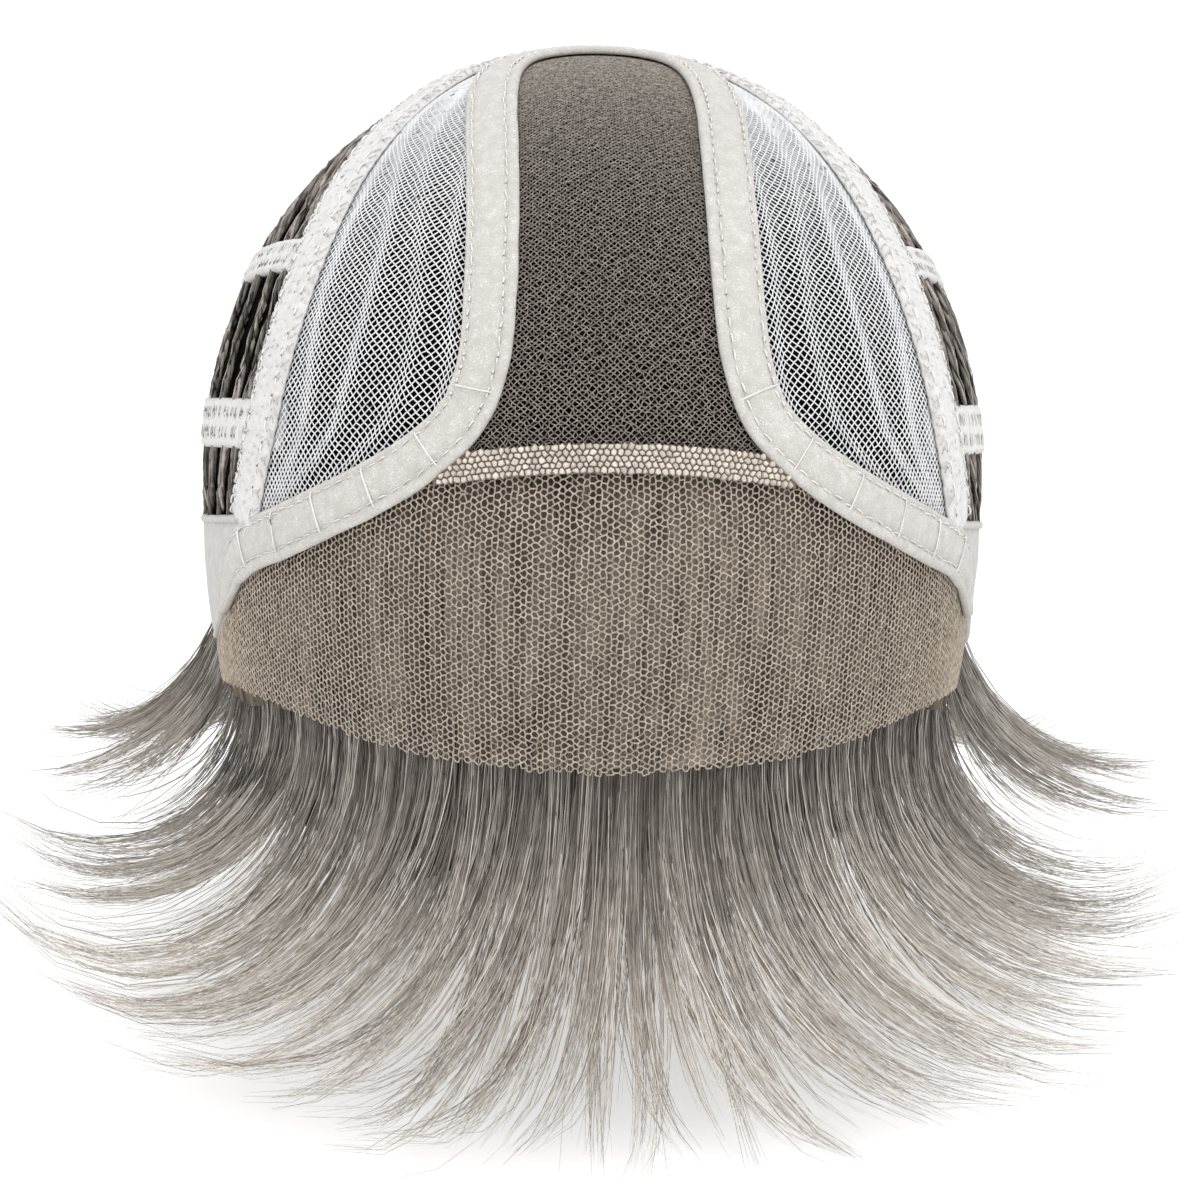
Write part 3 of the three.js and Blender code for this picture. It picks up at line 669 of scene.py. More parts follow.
def lace_front():
    flat, cells = hex_cells(LACE_BOX[1], LACE_BOX[0], LACE_PITCH)
    flat = flat[:, ::-1] * (1, -1) + dice.normal(0, LACE_JITTER, flat.shape)
    turn = np.linspace(-90, 90, 361)
    run = runs_of(wall_point(turn, 0.0))
    bearing = np.interp(flat[:, 0] + run[-1] / 2, run, turn)
    spots = wall_point(bearing, flat[:, 1] + LACE_MIDDLE)
    middles = cell_middles(spots, cells)
    at = bearing_of(middles)
    above_rim = middles[:, 2] > section(LACE_SECTIONS, 1, at) + 0.5 * LACE_PITCH
    below_seam = middles[:, 2] < section(LACE_SECTIONS, 2, at) - LACE_SEAM_ROOM
    kept = cells[above_rim & below_seam & (np.abs(at) < LACE_SECTIONS[-1, 0])]
    return net_piece("lace_net", spots, kept, LACE_THREAD_WIDTH, LACE_LIFT)


lace, lace_area = lace_front()
dress(lace, LACE_THREAD, "lace", "lace_front")
print("lace area", round(lace_area * 1e6), "mm2")

# %% Monofilament top
MONO_CELL = (1.22, 1.12)
MONO_THREAD_WIDTH = 0.36
MONO_JITTER = 0.13
MONO_BOX = (84.0, 136.0)
MONO_MIDDLE_PITCH = 56.0
MONO_RADIUS = 91.0
# How far a net ends from the middle of a band, and the pitch where the nets end behind the crown.
NET_MARGIN = 0.8
NET_REAR_PITCH = 98.0


def mono_top():
    flat, cells = diamond_cells(*MONO_BOX, *MONO_CELL)
    flat = flat + dice.normal(0, MONO_JITTER, flat.shape)
    lean = flat[:, 0] / MONO_RADIUS
    rise = np.radians(MONO_MIDDLE_PITCH) + flat[:, 1] / MONO_RADIUS
    spots = on_cap(np.stack([np.sin(lean), -np.cos(lean) * np.cos(rise), np.cos(lean) * np.sin(rise)], -1))
    middles = cell_middles(spots, cells)
    side = np.abs(middles[:, 0])
    pitch = pitch_of(middles)
    within = side < side_of(TAPE_LINE, pitch) - NET_MARGIN
    seam = np.interp(side, *np.transpose(STRIP_LINE))
    kept = cells[within & (pitch > seam) & (pitch < NET_REAR_PITCH)]
    return net_piece("mono_net", spots, kept, MONO_THREAD_WIDTH, LACE_LIFT)


mono, mono_area = mono_top()
dress(mono, MONO_THREAD, "mono", "mono_top")
print("mono area", round(mono_area * 1e6), "mm2")

# %% Side nets with gathered pleats
SIDE_CELL = (1.5, 1.65)
SIDE_THREAD_WIDTH = 0.40
SIDE_JITTER = 0.07
SIDE_BOX = (150.0, 150.0)
SIDE_MIDDLE = (46.0, 44.0)
SIDE_TURN = math.radians(-8.0)
SIDE_LEAST_PITCH = -2.0
SIDE_REAR = 30.0
MOST_TILT = 1.4
HANDS = (("left", -1), ("right", 1))
# Each pleat: its share of the way from the tape to the ribbon, its depth.
PLEATS = [(0.16, 1.0), (0.37, 0.7), (0.59, 1.0), (0.80, 0.8)]
PLEAT_REACH = 3.0
PLEAT_GATHER = 0.42
PLEAT_RISE = 0.5
PLEAT_HALF = 2.0
PLEAT_SWAY = 1.2
PLEAT_SWAY_LENGTH = 9.0
PLEAT_PHASE = 20.0
# Pleats end where the panel is narrow: the width where they start, and how much more makes them whole.
PLEAT_WIDTHS = (8.0, 14.0)


def side_spots(flat):
    """Lay a flat net round a point of the cap, keeping distances from that point."""
    middle = crown_point(*SIDE_MIDDLE)
    radius = np.linalg.norm(middle)
    up = middle / radius
    across = np.cross((0.0, 0.0, 1.0), up)
    across /= np.linalg.norm(across)
    over = np.cross(up, across)
    reach = np.linalg.norm(flat, axis=1) + 1e-9
    tilt = np.minimum(reach / radius, MOST_TILT)
    toward = across * (flat[:, :1] / reach[:, None]) + over * (flat[:, 1:] / reach[:, None])
    return on_cap(up * np.cos(tilt)[:, None] + toward * np.sin(tilt)[:, None])


def gathered(spots):
    """Draw the net in toward each pleat, and give the height that the pleat stands up."""
    pitch = pitch_of(spots)
    front = side_of(TAPE_LINE, pitch)
    width = np.maximum(side_of(RIBBON_LINE, pitch) - front, 1.0)
    side = spots[:, 0].copy()
    rise = np.zeros(len(spots))
    for share, depth in PLEATS:
        wave = PLEAT_SWAY * np.sin(pitch / PLEAT_SWAY_LENGTH + PLEAT_PHASE * share)
        offset = spots[:, 0] - (front + share * width + wave)
        near = np.exp(-(offset / PLEAT_REACH) ** 2)
        side -= PLEAT_GATHER * depth * offset * near
        rise += PLEAT_RISE * depth * np.exp(-(offset / PLEAT_HALF) ** 2)
    fade = np.clip((width - PLEAT_WIDTHS[0]) / PLEAT_WIDTHS[1], 0, 1)
    side = spots[:, 0] + (side - spots[:, 0]) * fade
    return crown_point(np.clip(side, 0, CAP_HALF_WIDTH - 0.5), pitch), rise * fade


def side_net(name, flip):
    flat, cells = diamond_cells(*SIDE_BOX, *SIDE_CELL)
    flat = flat + dice.normal(0, SIDE_JITTER, flat.shape)
    turned = np.stack([
        flat[:, 0] * math.cos(SIDE_TURN) - flat[:, 1] * math.sin(SIDE_TURN),
        flat[:, 0] * math.sin(SIDE_TURN) + flat[:, 1] * math.cos(SIDE_TURN),
    ], -1)
    spots = side_spots(turned)
    middles = cell_middles(spots, cells)
    pitch = pitch_of(middles)
    front = middles[:, 0] > side_of(TAPE_LINE, pitch) + NET_MARGIN
    rear = middles[:, 0] < side_of(RIBBON_LINE, pitch) - NET_MARGIN
    level = (pitch < NET_REAR_PITCH) & (pitch > SIDE_LEAST_PITCH)
    kept = cells[front & rear & level & (middles[:, 1] < SIDE_REAR)]
    laid, rise = gathered(spots)
    return net_piece(name, laid * (flip, 1, 1), kept, SIDE_THREAD_WIDTH, LACE_LIFT + rise)


for hand, flip in HANDS:
    net, side_area = side_net(f"side_net_{hand}", flip)
    dress(net, MESH_THREAD, "mesh", f"mesh_panel_{hand}")
print("side net area", round(side_area * 1e6), "mm2")

# %% [markdown]
# ## Binding tape
# A strip of soft felt covers the raw edges round the top panel, runs down both sides of it, turns out
# to the temples and ends narrow beside the lace. It is folded under at the inner edge, so that edge is
# a smooth roll. Two rows of running stitches press shallow grooves into it, and a long stitch crosses
# it now and then. The tape is one cross-section swept along its line, and the stitches are thin tubes
# that dip at both ends.

# %% Tape
BAND_STEP = 0.8
# Each row: way across from the outer edge to the rolled inner edge, height above the cap.
TAPE_PROFILE = np.array([
    (-5.1, 1.1), (-5.25, 1.6), (-4.9, 2.15), (-4.3, 2.3), (-3.75, 1.95), (-3.2, 2.35), (-2.0, 2.5),
    (-0.5, 2.55), (1.0, 2.5), (2.3, 2.3), (2.8, 1.9), (3.3, 2.3), (3.9, 2.6), (4.5, 2.55),
    (5.0, 2.25), (5.2, 1.7), (5.1, 1.1), (2.5, 1.05), (-2.5, 1.05),
])
TAPE_HALF = 5.15
# The ends of the tape run out narrow along the edge of the lace.
TAPE_TAIL = [(72.3, -18.5), (73.7, -31.0)]
TAIL_NARROWING = (17.0, 0.25)
FELT_LUMPS = 0.13
FELT_LUMP_SIZE = 1.6
UPPER_SIDE = 1.6


def profile_band(name, line, profile, lump, size, seed, narrowing=(1.0, 1.0)):
    """A band of one cross-section, uneven on top; narrowing is the reach and least width of its ends."""
    run = runs_of(line)[:, None]
    reach, least = narrowing
    width = least + (1 - least) * np.clip(np.minimum(run, run[-1] - run) / reach, 0, 1) ** 0.8
    offsets = profile[:, 0] * width
    heights = np.tile(profile[:, 1], (len(line), 1))
    spots = line[:, None] + band_frame(line)[:, None] * offsets[..., None]
    heights = heights + lump * noise(spots, size, seed) * (heights > UPPER_SIDE)
    offsets = offsets + 0.8 * lump * noise(spots, 3 * size, seed + 1)
    return swept_band(name, line, offsets, heights)


tape_line = arch_line(TAPE_LINE, BAND_STEP)
whole_tape = arch_line(TAPE_LINE + TAPE_TAIL, BAND_STEP)
tape = profile_band("binding_tape", whole_tape, TAPE_PROFILE, FELT_LUMPS, FELT_LUMP_SIZE, 11, TAIL_NARROWING)
dress(tape, FELT, "felt", "top_tape")

# %% Stitches of the tape
STITCH_RADIUS = 0.2
STITCH_LENGTH = 2.3
STITCH_GAP = 0.7
STITCH_DIP = 0.75
TAPE_ROWS = (-3.75, 2.8)
TAPE_STITCH_HEIGHT = 2.4
CROSSING_WAY = (-5.0, 4.9)
CROSSING_HEIGHT = 2.74
CROSSING_DIP = 0.9
CROSSING_RUNS = np.arange(7, 84, 14.5)


def at_run(line, run):
    """Points of a line, and the way across it, at distances along it."""
    table = runs_of(line)
    across = band_frame(line)
    spot = np.stack([np.interp(run, table, line[:, k]) for k in range(3)], -1)
    side = np.stack([np.interp(run, table, across[:, k]) for k in range(3)], -1)
    return spot, side


def running_stitches(line, offset, height, stitch, gap):
    """Paths of short stitches along a line, dipping into the cloth at both ends."""
    starts = np.arange(gap, length_of(line) - stitch, stitch + gap)
    each = (len(starts), 1)
    share = np.linspace(0, 1, 6)
    run = starts[:, None] + stitch * share * dice.uniform(0.85, 1.05, each)
    spot, side = at_run(line, run)
    drift = offset + dice.normal(0, 0.12, each) + dice.normal(0, 0.2, each) * (share - 0.5)
    dip = STITCH_DIP * (2 * share - 1) ** 4
    return lifted(on_cap(spot + side * drift[..., None]), np.tile(height - dip, each))


def cross_stitches(line, runs, offsets, height):
    """Paths of single long stitches across a band."""
    share = np.linspace(0, 1, 7)
    lean = dice.normal(0, 0.7, (len(runs), 1))
    spot, side = at_run(line, runs[:, None] + lean * (share - 0.5))
    drift = offsets[0] + (offsets[1] - offsets[0]) * share
    dip = CROSSING_DIP * (2 * share - 1) ** 6
    return lifted(on_cap(spot + side * drift[None, :, None]), np.tile(height - dip, (len(runs), 1)))


def thread_piece(name, groups, finish, slot, node):
    """One mesh of many stitches: groups of paths, each with its thread radius."""
    parts = []
    for paths, radius in groups:
        parts.append(tubes(paths, np.full(paths.shape[:2], radius), THREAD_SIDES))
    return dress(new_piece(name, *joined(parts)), finish, slot, node)


rows = [running_stitches(tape_line, row, TAPE_STITCH_HEIGHT, STITCH_LENGTH, STITCH_GAP) for row in TAPE_ROWS]
leg_runs = np.concatenate([CROSSING_RUNS, length_of(tape_line) - CROSSING_RUNS])
rows.append(cross_stitches(tape_line, leg_runs, CROSSING_WAY, CROSSING_HEIGHT))
threads = [(row, STITCH_RADIUS) for row in rows]
tape_stitches = thread_piece("tape_stitches", threads, STITCH, "felt", "top_tape")

# %% [markdown]
# ## Elastic ribbon and straps
# A wide knitted elastic runs from ear to ear behind the tape and holds the front to the open back,
# and four narrower straps cross the open back. Knitted elastic is lumpy, with scalloped edges. The
# lumps and scallops are in the mesh, so they show at the outline too, and the straps get rims and rows
# of pits besides. Curls of thread on top give the knit, and the ribbon has stitches and edge loops.

# %% Ear to ear ribbon
RIBBON_HALF = 5.75
RIBBON_STEP = 0.65
RIBBON_TUCK = (70.2, -2.5)
TUCK_REACH = 7.0
KNIT_LUMPS = 0.16
# Of a knitted band: its lower and upper height, the depth and the length of its scallops.
RIBBON_KNIT = (1.1, 2.35, 0.3, 3.1)
# Of the rims and pits of a narrow elastic: their place in its half width, their reach.
LADDER_RIM = (0.86, 0.15)
LADDER_PIT = (0.43, 0.2)
RIM_RISE = 0.4
PIT_DEPTH = 0.55


def ridge(top, place, reach):
    """A soft ridge on both sides of a band's middle."""
    return np.exp(-((np.abs(top) - place) / reach) ** 2)


def knit_band(name, line, half, base, top_height, scallop, period, ladder):
    """A lumpy elastic band with scalloped edges that sinks in at both ends; ladder adds rims and pits."""
    run = runs_of(line)[:, None]
    top = np.linspace(-1, 1, 15)[None, :]
    wave = np.abs(np.sin(np.pi * run / period))
    reach = half - scallop * (1 - wave) * np.ones_like(top)
    across = top * reach
    grain = noise(np.stack(np.broadcast_arrays(run / 0.8, across / 1.3), -1), 1.0, 21)
    sunk = np.clip(1 - np.minimum(run, run[-1] - run) / TUCK_REACH, 0, 1) ** 2
    body = top_height - 0.8 * np.abs(top) ** 6 + KNIT_LUMPS * grain - sunk
    if ladder:
        rim = ridge(top, *LADDER_RIM) * (0.6 + 0.4 * wave)
        pit = ridge(top, *LADDER_PIT) * (1 - wave)
        body = body + RIM_RISE * rim - PIT_DEPTH * pit
    offsets = np.concatenate([across, across[:, -1:], across[:, :1]], axis=1)
    heights = np.concatenate([np.maximum(body, base + 0.2), np.full((len(line), 2), base)], axis=1)
    return swept_band(name, line, offsets, heights)


ribbon_line = arch_line(RIBBON_LINE + [RIBBON_TUCK], RIBBON_STEP)
ribbon = knit_band("elastic_ribbon", ribbon_line, RIBBON_HALF, *RIBBON_KNIT, False)
dress(ribbon, KNIT, "knit", "crown_ribbon")

# %% Threads of the ribbon
CURL_BOW = 0.6
CURL_DIP = 0.5
CURL_SCATTER = 0.18
RIBBON_ROWS = np.linspace(-4.7, 4.7, 6)
RIBBON_CURL = {"period": 1.9, "height": 2.36}
RIBBON_CURL_RADIUS = 0.14
RIBBON_STITCH = {"height": 2.6, "stitch": 3.4, "gap": 0.8}
RIBBON_STITCH_ROWS = (3.7, -3.7)
RIBBON_STITCH_RADIUS = 0.19
LOOP = {"offset": -RIBBON_HALF + 0.2, "bulge": -0.4, "period": 3.1}
LOOP_HEIGHT = 1.8
LOOP_RADIUS = 0.22


def edge_loops(line, offset, bulge, period):
    """Paths of little loops of thread along an edge."""
    starts = np.arange(period, length_of(line) - period, period)
    share = np.linspace(0, 1, 7)
    spot, side = at_run(line, starts[:, None] + 0.85 * period * (share - 0.5))
    out = offset + bulge * np.sin(np.pi * share) * dice.uniform(0.6, 1.2, (len(starts), 1))
    return lifted(on_cap(spot + side * out[..., None]), np.full(out.shape, LOOP_HEIGHT))


def knit_curls(line, rows, period, height):
    """Paths of the curls of a knit: rows of little bows that reach across to the next row."""
    runs = np.arange(period, length_of(line) - period, period)
    run, row = (grid.reshape(-1, 1) for grid in np.meshgrid(runs, rows))
    run = run + dice.normal(0, CURL_SCATTER * period, run.shape)
    share = np.linspace(0, 1, 5)
    bow = np.sin(np.pi * share) * dice.choice((-CURL_BOW, CURL_BOW), run.shape)
    spot, side = at_run(line, run + bow * period)
    out = row + (rows[1] - rows[0]) * (share - 0.5) * dice.uniform(0.7, 1.2, run.shape)
    dip = CURL_DIP * (2 * share - 1) ** 4
    return lifted(on_cap(spot + side * out[..., None]), np.broadcast_to(height - dip, out.shape))


bare_ribbon = arch_line(RIBBON_LINE, RIBBON_STEP)
curls = [(knit_curls(bare_ribbon, RIBBON_ROWS, **RIBBON_CURL), RIBBON_CURL_RADIUS)]
ribbon_curls = thread_piece("ribbon_curls", curls, KNIT, "knit", "crown_ribbon")
rows = [running_stitches(ribbon_line, row, **RIBBON_STITCH) for row in RIBBON_STITCH_ROWS]
threads = [(row, RIBBON_STITCH_RADIUS) for row in rows]
threads.append((edge_loops(ribbon_line, **LOOP), LOOP_RADIUS))
ribbon_stitches = thread_piece("ribbon_stitches", threads, STITCH, "knit", "crown_ribbon")

# %% Straps of the open back
# Each row: bearing, height.
UPPER_STRAP = [(62, 50.5), (90, 41.4), (120, 24), (152, -19)]
LOWER_STRAP = [(54, 20.5), (82, 11.6), (100, 4.5), (124, -15)]
LOWER_HALF = 5.0
STRAPS = [("upper", UPPER_STRAP, 3.75), ("lower", LOWER_STRAP, LOWER_HALF)]
STRAP_STEP = 0.7
STRAP_OVERLAP = 0.6
STRAP_KNIT = (-0.5, 1.2, 0.4, 2.0)
STRAP_ROWS = np.array([-0.4, 0.4])
STRAP_CURL = {"period": 2.0, "height": 1.25}
STRAP_CURL_RADIUS = 0.2


def strap_line(table, flip):
    """The line of a strap, from the edge of the ribbon on."""
    rows = np.array(table, float)
    line = cap_line(wall_point(rows[:, 0], rows[:, 1]) * (flip, 1, 1), STRAP_STEP)
    away = np.linalg.norm(line[:, None] - ribbon_line[None], axis=2).min(axis=1)
    return line[away > RIBBON_HALF - STRAP_OVERLAP]


for which, table, half in STRAPS:
    for hand, flip in HANDS:
        line = strap_line(table, flip)
        node = f"strap_{which}_{hand}"
        strap = knit_band(f"elastic_{node}", line, half, *STRAP_KNIT, True)
        dress(strap, KNIT, "knit", node)
        curls = [(knit_curls(line, STRAP_ROWS * half, **STRAP_CURL), STRAP_CURL_RADIUS)]
        thread_piece(f"strap_curls_{which}_{hand}", curls, KNIT, "knit", node)

# %% [markdown]
# ## Beaded seam
# Where the top panel meets the lace, the net is turned double and the thread bulges between the
# stitches, so the seam looks like rows of small beads with thin brown outlines. Each bead is one
# hexagon of the net with a raised middle; the brown sits at its edge as a point colour, its side is
# painted darker as shade and its top lighter as light.

# %% Seam strip
STRIP_HALF = 2.7
STRIP_STEP = 0.4
STRIP_UNDER_TAPE = 1.5
BEAD_PITCH = 1.25
BEAD_JITTER = 0.15
# A bead's middle stays this far from the ends, the edges and the tape.
BEAD_ROOM = (0.8, 0.4, 0.1)
BEAD_BROWN = linear((112, 97, 85))
# Painted shade on a bead's side and painted light on its top.
BEAD_SHADED_SIDE = linear((180, 168, 155))
BEAD_LIT_TOP = linear((228, 221, 211))
# The rings of a bead from its edge to its peak: the sizes of the inner two, heights, colours.
BEAD_STEPS = (0.84, 0.6)
BEAD_HEIGHTS = (1.55, 1.95, 2.3, 2.4)
BEAD_COLOURS = (BEAD_BROWN, BEAD_SHADED_SIDE, BEAD_LIT_TOP, BEAD_LIT_TOP)
BEAD_SHADES = (0.66, 1.08)
BEAD_UNEVEN = 0.1
BEAD_RAISED = 2.0
BEAD_POINTS = 19


def from_tape(points):
    """Distance of points from the middle of the tape."""
    return np.linalg.norm(points[:, None] - tape_line[None], axis=2).min(axis=1)


def strip_line():
    """The middle of the seam, as far as it shows, and a little way under the tape."""
    line = arch_line(STRIP_LINE, STRIP_STEP)
    return line[from_tape(line) > TAPE_HALF - STRIP_UNDER_TAPE]


def beads(line):
    """Points, faces and colours of the raised cells of the seam."""
    half = length_of(line) / 2
    flat, cells = hex_cells(length_of(line), 2 * STRIP_HALF, BEAD_PITCH)
    middles = flat[cells].mean(axis=1)
    spot, side = at_run(line, middles[:, 0] + half)
    at_end, at_edge, at_tape = BEAD_ROOM
    bare = from_tape(spot + side * middles[:, 1:]) > TAPE_HALF + at_tape
    within = (np.abs(middles[:, 1]) < STRIP_HALF - at_edge) & (np.abs(middles[:, 0]) < half - at_end)
    cells = cells[within & bare]
    middles = middles[within & bare][:, None]
    rim = (flat + dice.normal(0, BEAD_JITTER, flat.shape))[cells]
    rings = [rim, *(middles + (rim - middles) * step for step in BEAD_STEPS), middles]
    points = []
    tints = []
    for ring, height, colour in zip(rings, BEAD_HEIGHTS, BEAD_COLOURS):
        spot, side = at_run(line, ring[..., 0] + half)
        lift = height + dice.normal(0, BEAD_UNEVEN, (len(cells), 1)) * (height > BEAD_RAISED)
        points.append(lifted(on_cap(spot + side * ring[..., 1:]), np.broadcast_to(lift, ring.shape[:2])))
        shade = dice.uniform(*BEAD_SHADES, (len(cells), 1, 1))
        tints.append(np.broadcast_to(colour * shade, ring.shape[:2] + (3,)))
    points = np.concatenate(points, axis=1)
    tints = np.concatenate(tints, axis=1)
    base = np.arange(len(cells))[:, None, None] * BEAD_POINTS
    k = np.arange(6)
    after = (k + 1) % 6
    outer = np.stack([k, after, 6 + after, 6 + k], -1)
    inner = np.stack([6 + k, 6 + after, 12 + after, 12 + k], -1)
    peak = np.stack([12 + k, 12 + after, np.full(6, 18)], -1)
    faces = [(base + part).reshape(-1, part.shape[1]) for part in (outer, inner, peak)]
    return points.reshape(-1, 3), faces, tints.reshape(-1, 3)


seam_line = strip_line()
bead_points, bead_faces, bead_tints = beads(seam_line)
seam_beads = new_piece("seam_beads", bead_points, bead_faces, bead_tints)
dress(seam_beads, BEADED, "strip", "seam_strip")
SEAM_PROFILE = np.array([(-2.7, 1.05), (-2.7, 1.35), (-2.4, 1.6), (2.4, 1.6), (2.7, 1.35), (2.7, 1.05)])
seam_base = profile_band("seam_base", seam_line, SEAM_PROFILE, 0.02, 2.0, 31)
dress(seam_base, SEAM_TAPE, "strip", "seam_strip")

# %% [markdown]
# ## Ear tabs and nape band
# Behind the lace, a soft white gusset sits over each ear, and a plain band of the same cloth closes
# the rim round the back. Each is a grid of points on the cap with a puffed outer side. Cloth that is
# turned and sewn makes a roll, so a fat tube lies along every upper edge and over the seams beside
# the gussets.

# %% Ear tabs and nape band
TAB_END = 112.0
SEAM_GAP = 0.8
CLOTH_INNER = 0.1
CLOTH_OUTER = 0.75
CLOTH_LEAST = 0.6
PUFF = 0.3
HEM_POINTS = 90
HEM_SIDES = 8
HEM_HEIGHT = 0.6


def cloth_shell(spots, inner, outer):
    """Points and faces of a closed sheet from a grid of cap points and two heights."""
    rows, columns = spots.shape[:2]
    points = np.concatenate([lifted(spots, outer), lifted(spots, inner)]).reshape(-1, 3)
    i, k = np.meshgrid(np.arange(rows - 1), np.arange(columns - 1), indexing="ij")
    a = i * columns + k
    quads = np.stack([a, a + 1, a + columns + 1, a + columns], -1).reshape(-1, 4)
    under = quads[:, ::-1] + rows * columns
    edge = np.concatenate([
        np.arange(columns),
        np.arange(2, rows) * columns - 1,
        np.arange(rows * columns - 1, (rows - 1) * columns - 1, -1),
        np.arange(rows - 2, 0, -1) * columns,
    ])
    after = np.roll(edge, -1)
    rim = np.stack([after, edge, edge + rows * columns, after + rows * columns], -1)
    return points, [quads, under, rim]


def grid_area(spots):
    """Area of a grid of points, in square metres."""
    rising = spots[1:, 1:] - spots[:-1, :-1]
    falling = spots[1:, :-1] - spots[:-1, 1:]
    return 0.5 * np.linalg.norm(np.cross(rising, falling), axis=-1).sum() * MM ** 2


def seam_bearing(height):
    """Bearing of the lace's seam at a height, on the wide side of the lace."""
    rows = LACE_SECTIONS[LACE_SECTIONS[:, 0] > 40][::-1]
    return np.interp(height, rows[:, 2], rows[:, 0])


def band_sheet(name, bearing, share, flip, edges):
    """A piece of the rim cloth over a grid of bearings and shares of its height, with rolled edges."""
    low = section(BAND_SECTIONS, 1, np.minimum(bearing, 360 - bearing)) + SEAM_GAP
    high = section(BAND_SECTIONS, 2, np.minimum(bearing, 360 - bearing))
    spots = wall_point(bearing, low + (high - low) * share)
    lumps = 0.18 * noise(spots, 5.0, 41) + 0.1 * noise(spots, 1.8, 42)
    outer = CLOTH_OUTER + PUFF * np.sin(np.pi * share) ** 0.5 + 0.6 * lumps
    inner = np.full(share.shape, CLOTH_INNER)
    parts = [cloth_shell(spots * (flip, 1, 1), inner, np.maximum(outer, CLOTH_LEAST))]
    for edge, radii in edges:
        hem = even_points(on_cap(edge(spots)), HEM_POINTS) * (flip, 1, 1)
        swell = np.interp(np.arange(HEM_POINTS), (0, HEM_POINTS - 1), radii) + 0.1 * noise(hem, 6.0, 43)
        parts.append(tubes(lifted(hem, np.full(HEM_POINTS, HEM_HEIGHT))[None], swell[None], HEM_SIDES))
    piece = new_piece(name, *joined(parts))
    pick(piece)
    bpy.ops.object.mode_set(mode="EDIT")
    bpy.ops.mesh.select_all(action="SELECT")
    bpy.ops.mesh.normals_make_consistent(inside=False)
    bpy.ops.object.mode_set(mode="OBJECT")
    return piece, grid_area(spots)


def tab_grid():
    across, share = np.meshgrid(np.linspace(0, 1, 56), np.linspace(0, 1, 22))
    first = BAND_SECTIONS[0]
    front = seam_bearing(first[1] + SEAM_GAP + (first[2] - first[1] - SEAM_GAP) * share) + SEAM_GAP
    return front + (TAB_END - front) * across, share


def top_edge(spots):
    return spots[-1]


def front_edge(spots):
    """The edge beside the lace, moved over the seam between them."""
    return spots[:, 0] - 0.6 * (spots[:, 1] - spots[:, 0])


def rear_edge(spots):
    """The edge beside the nape band, moved over the seam between them."""
    return spots[:, -1] + 0.5 * (spots[:, -1] - spots[:, -2])


# Each edge, with the radius of its roll at both ends.
TAB_EDGES = [(top_edge, (0.9, 0.8)), (front_edge, (0.7, 1.5)), (rear_edge, (0.85, 0.85))]
NAPE_EDGES = [(top_edge, (0.8, 0.8))]
for hand, flip in HANDS:
    tab, tab_area = band_sheet(f"ear_gusset_{hand}", *tab_grid(), flip, TAB_EDGES)
    dress(tab, TAB_CLOTH, "knit", f"ear_tab_{hand}")
nape_start = TAB_END + SEAM_GAP
nape_grid = np.meshgrid(np.linspace(nape_start, 360 - TAB_END - SEAM_GAP, 150), np.linspace(0, 1, 12))
nape, nape_area = band_sheet("nape_hem", *nape_grid, 1, NAPE_EDGES)
dress(nape, TAB_CLOTH, "knit", "nape_band")
print("tab area", round(tab_area * 1e6), "mm2, nape area", round(nape_area * 1e6), "mm2")

# %% [markdown]
# ## Wefts
# A weft is a row of hair folded over threads and sewn into a cord. Ten of them arch over the open
# back from ear to ear. The first line runs beside the ribbon, the last is where a tilted plane meets
# the cap over the nape, and the others are blended between these two. Each cord is five twisted plies,
# mixed of dark and light, with a pale sewing thread wound round them.

# %% Wefts of the open back
WEFT_COUNT = 10
WEFT_FRONT_FOOT = -38.0
WEFT_BEHIND_RIBBON = 11.3
WEFT_NAPE_FOOT = 73.0
WEFT_NAPE_PITCH = 185.0
WEFT_CROWDING = 1.25
WEFT_GUIDES = 14
WEFT_FOOT_RISE = 0.3
WEFT_POINTS = 120
WEFT_PLIES = 5
# Length of one twist, and how far a ply swings across and up from the middle of the cord.
PLY_TWIST = 17.0
PLY_ACROSS = 0.78
PLY_UP = 0.42
PLY_LIFT = 0.15
PLY_RADIUS = 0.42
PLY_UNEVEN = 0.12
SEWING_TWIST = 3.4
SEWING_ACROSS = 1.15
SEWING_LIFT = 0.5
SEWING_UP = 0.45
SEWING_RADIUS = 0.12
WEFT_DARK = linear((52, 47, 43))
WEFT_LIGHT = linear((216, 207, 198))
WEFT_SEWING = linear((200, 193, 185))
FAR_OUT = 200.0
HALVINGS = 40


def weft_foot(depth):
    """Where a weft is sewn to the band, a given way behind the middle of the cap."""
    turn = np.degrees(np.arccos(-depth / CAP_HALF_LENGTH))
    return wall_point(turn, section(BAND_SECTIONS, 2, turn) + WEFT_FOOT_RISE)


def nape_line():
    """The cap's cut by the tilted plane of the last weft."""
    middle = weft_foot(WEFT_NAPE_FOOT) * (0, 1, 1)
    rise = crown_point(0.0, WEFT_NAPE_PITCH) - middle
    rise /= np.linalg.norm(rise)
    fan = np.pi * (1 - np.linspace(0, 1, WEFT_GUIDES + 1))[:, None]
    way = np.cos(fan) * np.array([1.0, 0, 0]) + np.sin(fan) * rise
    near = np.zeros((len(fan), 1))
    far = np.full((len(fan), 1), FAR_OUT)
    for _ in range(HALVINGS):
        half = (near + far) / 2
        spot = middle + way * half
        outside = np.linalg.norm(spot, axis=1) > np.linalg.norm(on_cap(spot), axis=1)
        far = np.where(outside[:, None], half, far)
        near = np.where(outside[:, None], near, half)
    return middle + way * near


